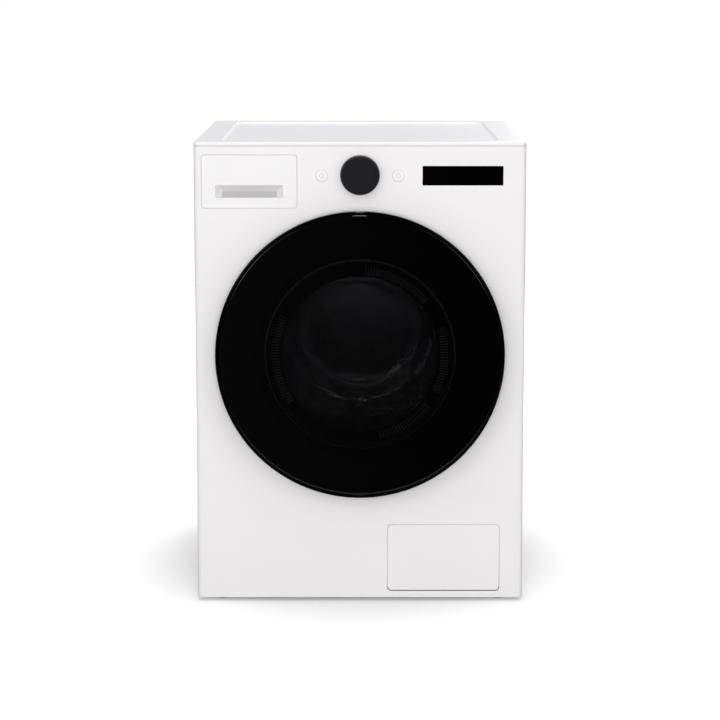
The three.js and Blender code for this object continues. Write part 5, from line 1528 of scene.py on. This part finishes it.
def build_small_parts():
    for node, name, material, body, slot, width in (
            ("left_damper_cylinder", "left_damper_tube", grey_plastic, "cabinet", "grey_plastic", 0.8),
            ("right_damper_cylinder", "right_damper_tube", grey_plastic, "cabinet", "grey_plastic", 0.8),
            ("left_damper_rod", "left_damper_plunger", screw_steel, "tub", "stainless_steel", 0.8),
            ("right_damper_rod", "right_damper_plunger", screw_steel, "tub", "stainless_steel", 0.8),
            ("drain_outlet", "drain_outlet_skin", black_plastic, "cabinet", "black_plastic", 0.4),
            ("power_gland", "power_gland_skin", black_plastic, "cabinet", "black_plastic", 0.4),
            ("main_board_box", "main_board_case", black_plastic, "cabinet", "black_plastic", 0.8),
            ("heater", "heater_element", screw_steel, "tub", "stainless_steel", 0.3)):
        skinned(node, name, material, body, slot, width)
    ring = [(215.0, -334.3), (284.5, -334.3), (284.5, -300.3), (215.0, -300.3)]
    weight = turned("counterweight_ring", ring, sides=120, soft=4.0)
    fit(weight, concrete, "tub", "concrete", "front_counterweight")
    for node, name, inner, outer, y in (("front_bearing", "front_bearing_races", 15.3, 36.0, 222.0),
                                        ("rear_bearing", "rear_bearing_races", 12.8, 31.0, 261.0)):
        race = [(inner, y), (inner + 5.0, y), (inner + 5.0, y + 1.0), (outer - 5.0, y + 1.0),
                (outer - 5.0, y), (outer, y), (outer, y + 19.7), (outer - 5.0, y + 19.7),
                (outer - 5.0, y + 18.7), (inner + 5.0, y + 18.7), (inner + 5.0, y + 19.7),
                (inner, y + 19.7)]
        fit(turned(name, race, sides=72, soft=0.3), screw_steel, "tub", "stainless_steel", node)
    build_main_board()
    valve = refined("inlet_valve", "inlet_valve_skin", 0.6)
    threads = []
    for x in INLET_X:
        y = REAR_Y + 1.5
        while y < 414.0:
            ridge = [(12.8, y), (13.4, y + 0.5), (13.4, y + 0.8), (12.8, y + 1.3)]
            threads.append(turned("thread", ridge, x, INLET_Z, 48))
            y += 1.8
    fit(gathered("inlet_valve_body", [valve] + threads, 40.0), white_plastic, "cabinet", "white_plastic",
        "inlet_valve")


def build_clamps_and_seal():
    """The steel bands that hold the hose ends, and the seal in front of the shaft's bearings."""
    bands = [("sump_clamp", 14.0, 196.0, 30.0, 120.0, "Z", "tub"),
             ("pump_inlet_clamp", 14.0, 106.0, -270.0, 95.9, "X", "cabinet"),
             ("pump_outlet_clamp", 10.0, 154.0, 179.65, -250.0, "Z", "cabinet"),
             ("valve_clamp", 9.0, 305.0, -205.0, 925.0, "Y", "cabinet"),
             ("dispenser_clamp", 9.0, -84.0, -205.0, 930.0, "Y", "cabinet"),
             ("upper_bellows_clamp", 19.0, 829.2, SPOUT_X, SPOUT_Y, "Z", "cabinet")]
    for name, radius, start, u, v, axis, body in bands:
        wide = 2.4 if "bellows" in name else 7.0
        band = [(radius + 0.15, start), (radius + 1.3, start), (radius + 1.6, start + 0.4),
                (radius + 1.6, start + wide - 0.4), (radius + 1.3, start + wide),
                (radius + 0.15, start + wide)]
        fit(turned(name, band, u, v, 48, 0.0, axis), screw_steel, body, "stainless_steel")
    lip = [(15.5, 213.0), (18.0, 211.5), (35.5, 211.5), (35.5, 221.0), (22.0, 221.0), (22.0, 215.0),
           (17.0, 216.0)]
    fit(turned("shaft_seal_ring", lip, sides=72, soft=0.3), black_rubber, "tub", "rubber")


def build_main_board():
    """The board in its case, the parts on it, and the loom that runs forward to the controls."""
    low, high = edges_of("main_board_box")
    deck = low.z + 9.0
    parts = [block("plate", (low.x + 4.0, high.x - 4.0), (low.y + 4.0, high.y - 4.0), (deck - 1.6, deck))]
    fit(gathered("main_circuit_board", parts), board, "cabinet", "circuit_board")
    parts = []
    for x, y, radius, tall in ((24, 40, 11, 30), (50, 40, 11, 30), (30, 78, 8, 24), (112, 160, 6, 16),
                               (96, 160, 6, 16)):
        can = [(0.0, deck), (radius, deck), (radius, deck + tall), (radius - 1.0, deck + tall),
               (0.0, deck + tall - 0.6)]
        parts.append(turned("can", can, low.x + x, low.y + y, 28, 0.5, "Z"))
    for x, y, wide, deep, tall in ((88, 30, 34, 28, 20), (30, 120, 24, 18, 15), (62, 120, 24, 18, 15),
                                   (104, 96, 18, 36, 7), (34, 176, 40, 10, 12), (84, 188, 26, 10, 12),
                                   (70, 80, 12, 30, 26)):
        x0, y0 = low.x + x - wide / 2, low.y + y - deep / 2
        parts.append(bevelled(block("part", (x0, x0 + wide), (y0, y0 + deep), (deck, deck + tall)), 0.6))
    fit(gathered("main_board_parts", parts), charcoal, "cabinet", "black_plastic")
    rim = rounded_rect(low.x - 1.5, high.x + 1.5, low.y - 1.5, high.y + 1.5, 4.0)
    lid = [[(u, v, level) for u, v in rim] for level in (high.z + 0.4, high.z + 2.4)]
    lid = loft("lid", lid)
    vents = [block("vent", (low.x + 34.0, high.x - 34.0), (y, y + 4.0), (high.z - 4.0, high.z + 6.0))
             for y in range(110, 251, 12)]
    cut(lid, *vents)
    fit(bevelled(lid, 0.6), black_plastic, "cabinet", "black_plastic")
    lid.name = "main_board_lid"
    ahead = edges_of("control_housing")[1]
    x = min(300.0, ahead.x - 30.0)
    run = [(x, low.y - 0.3, 880.0), (x, low.y - 40.0, 880.0), (x + 4.0, -60.0, 892.0),
           (x, ahead.y + 60.0, 884.0), (x, ahead.y + 0.3, 884.0)]
    fit(tube("wiring_loom", run, 5.5, 16, 10), black_rubber, "cabinet", "black_plastic")


build_tub()
build_motor()
build_springs()
build_hoses()
build_small_parts()
build_clamps_and_seal()
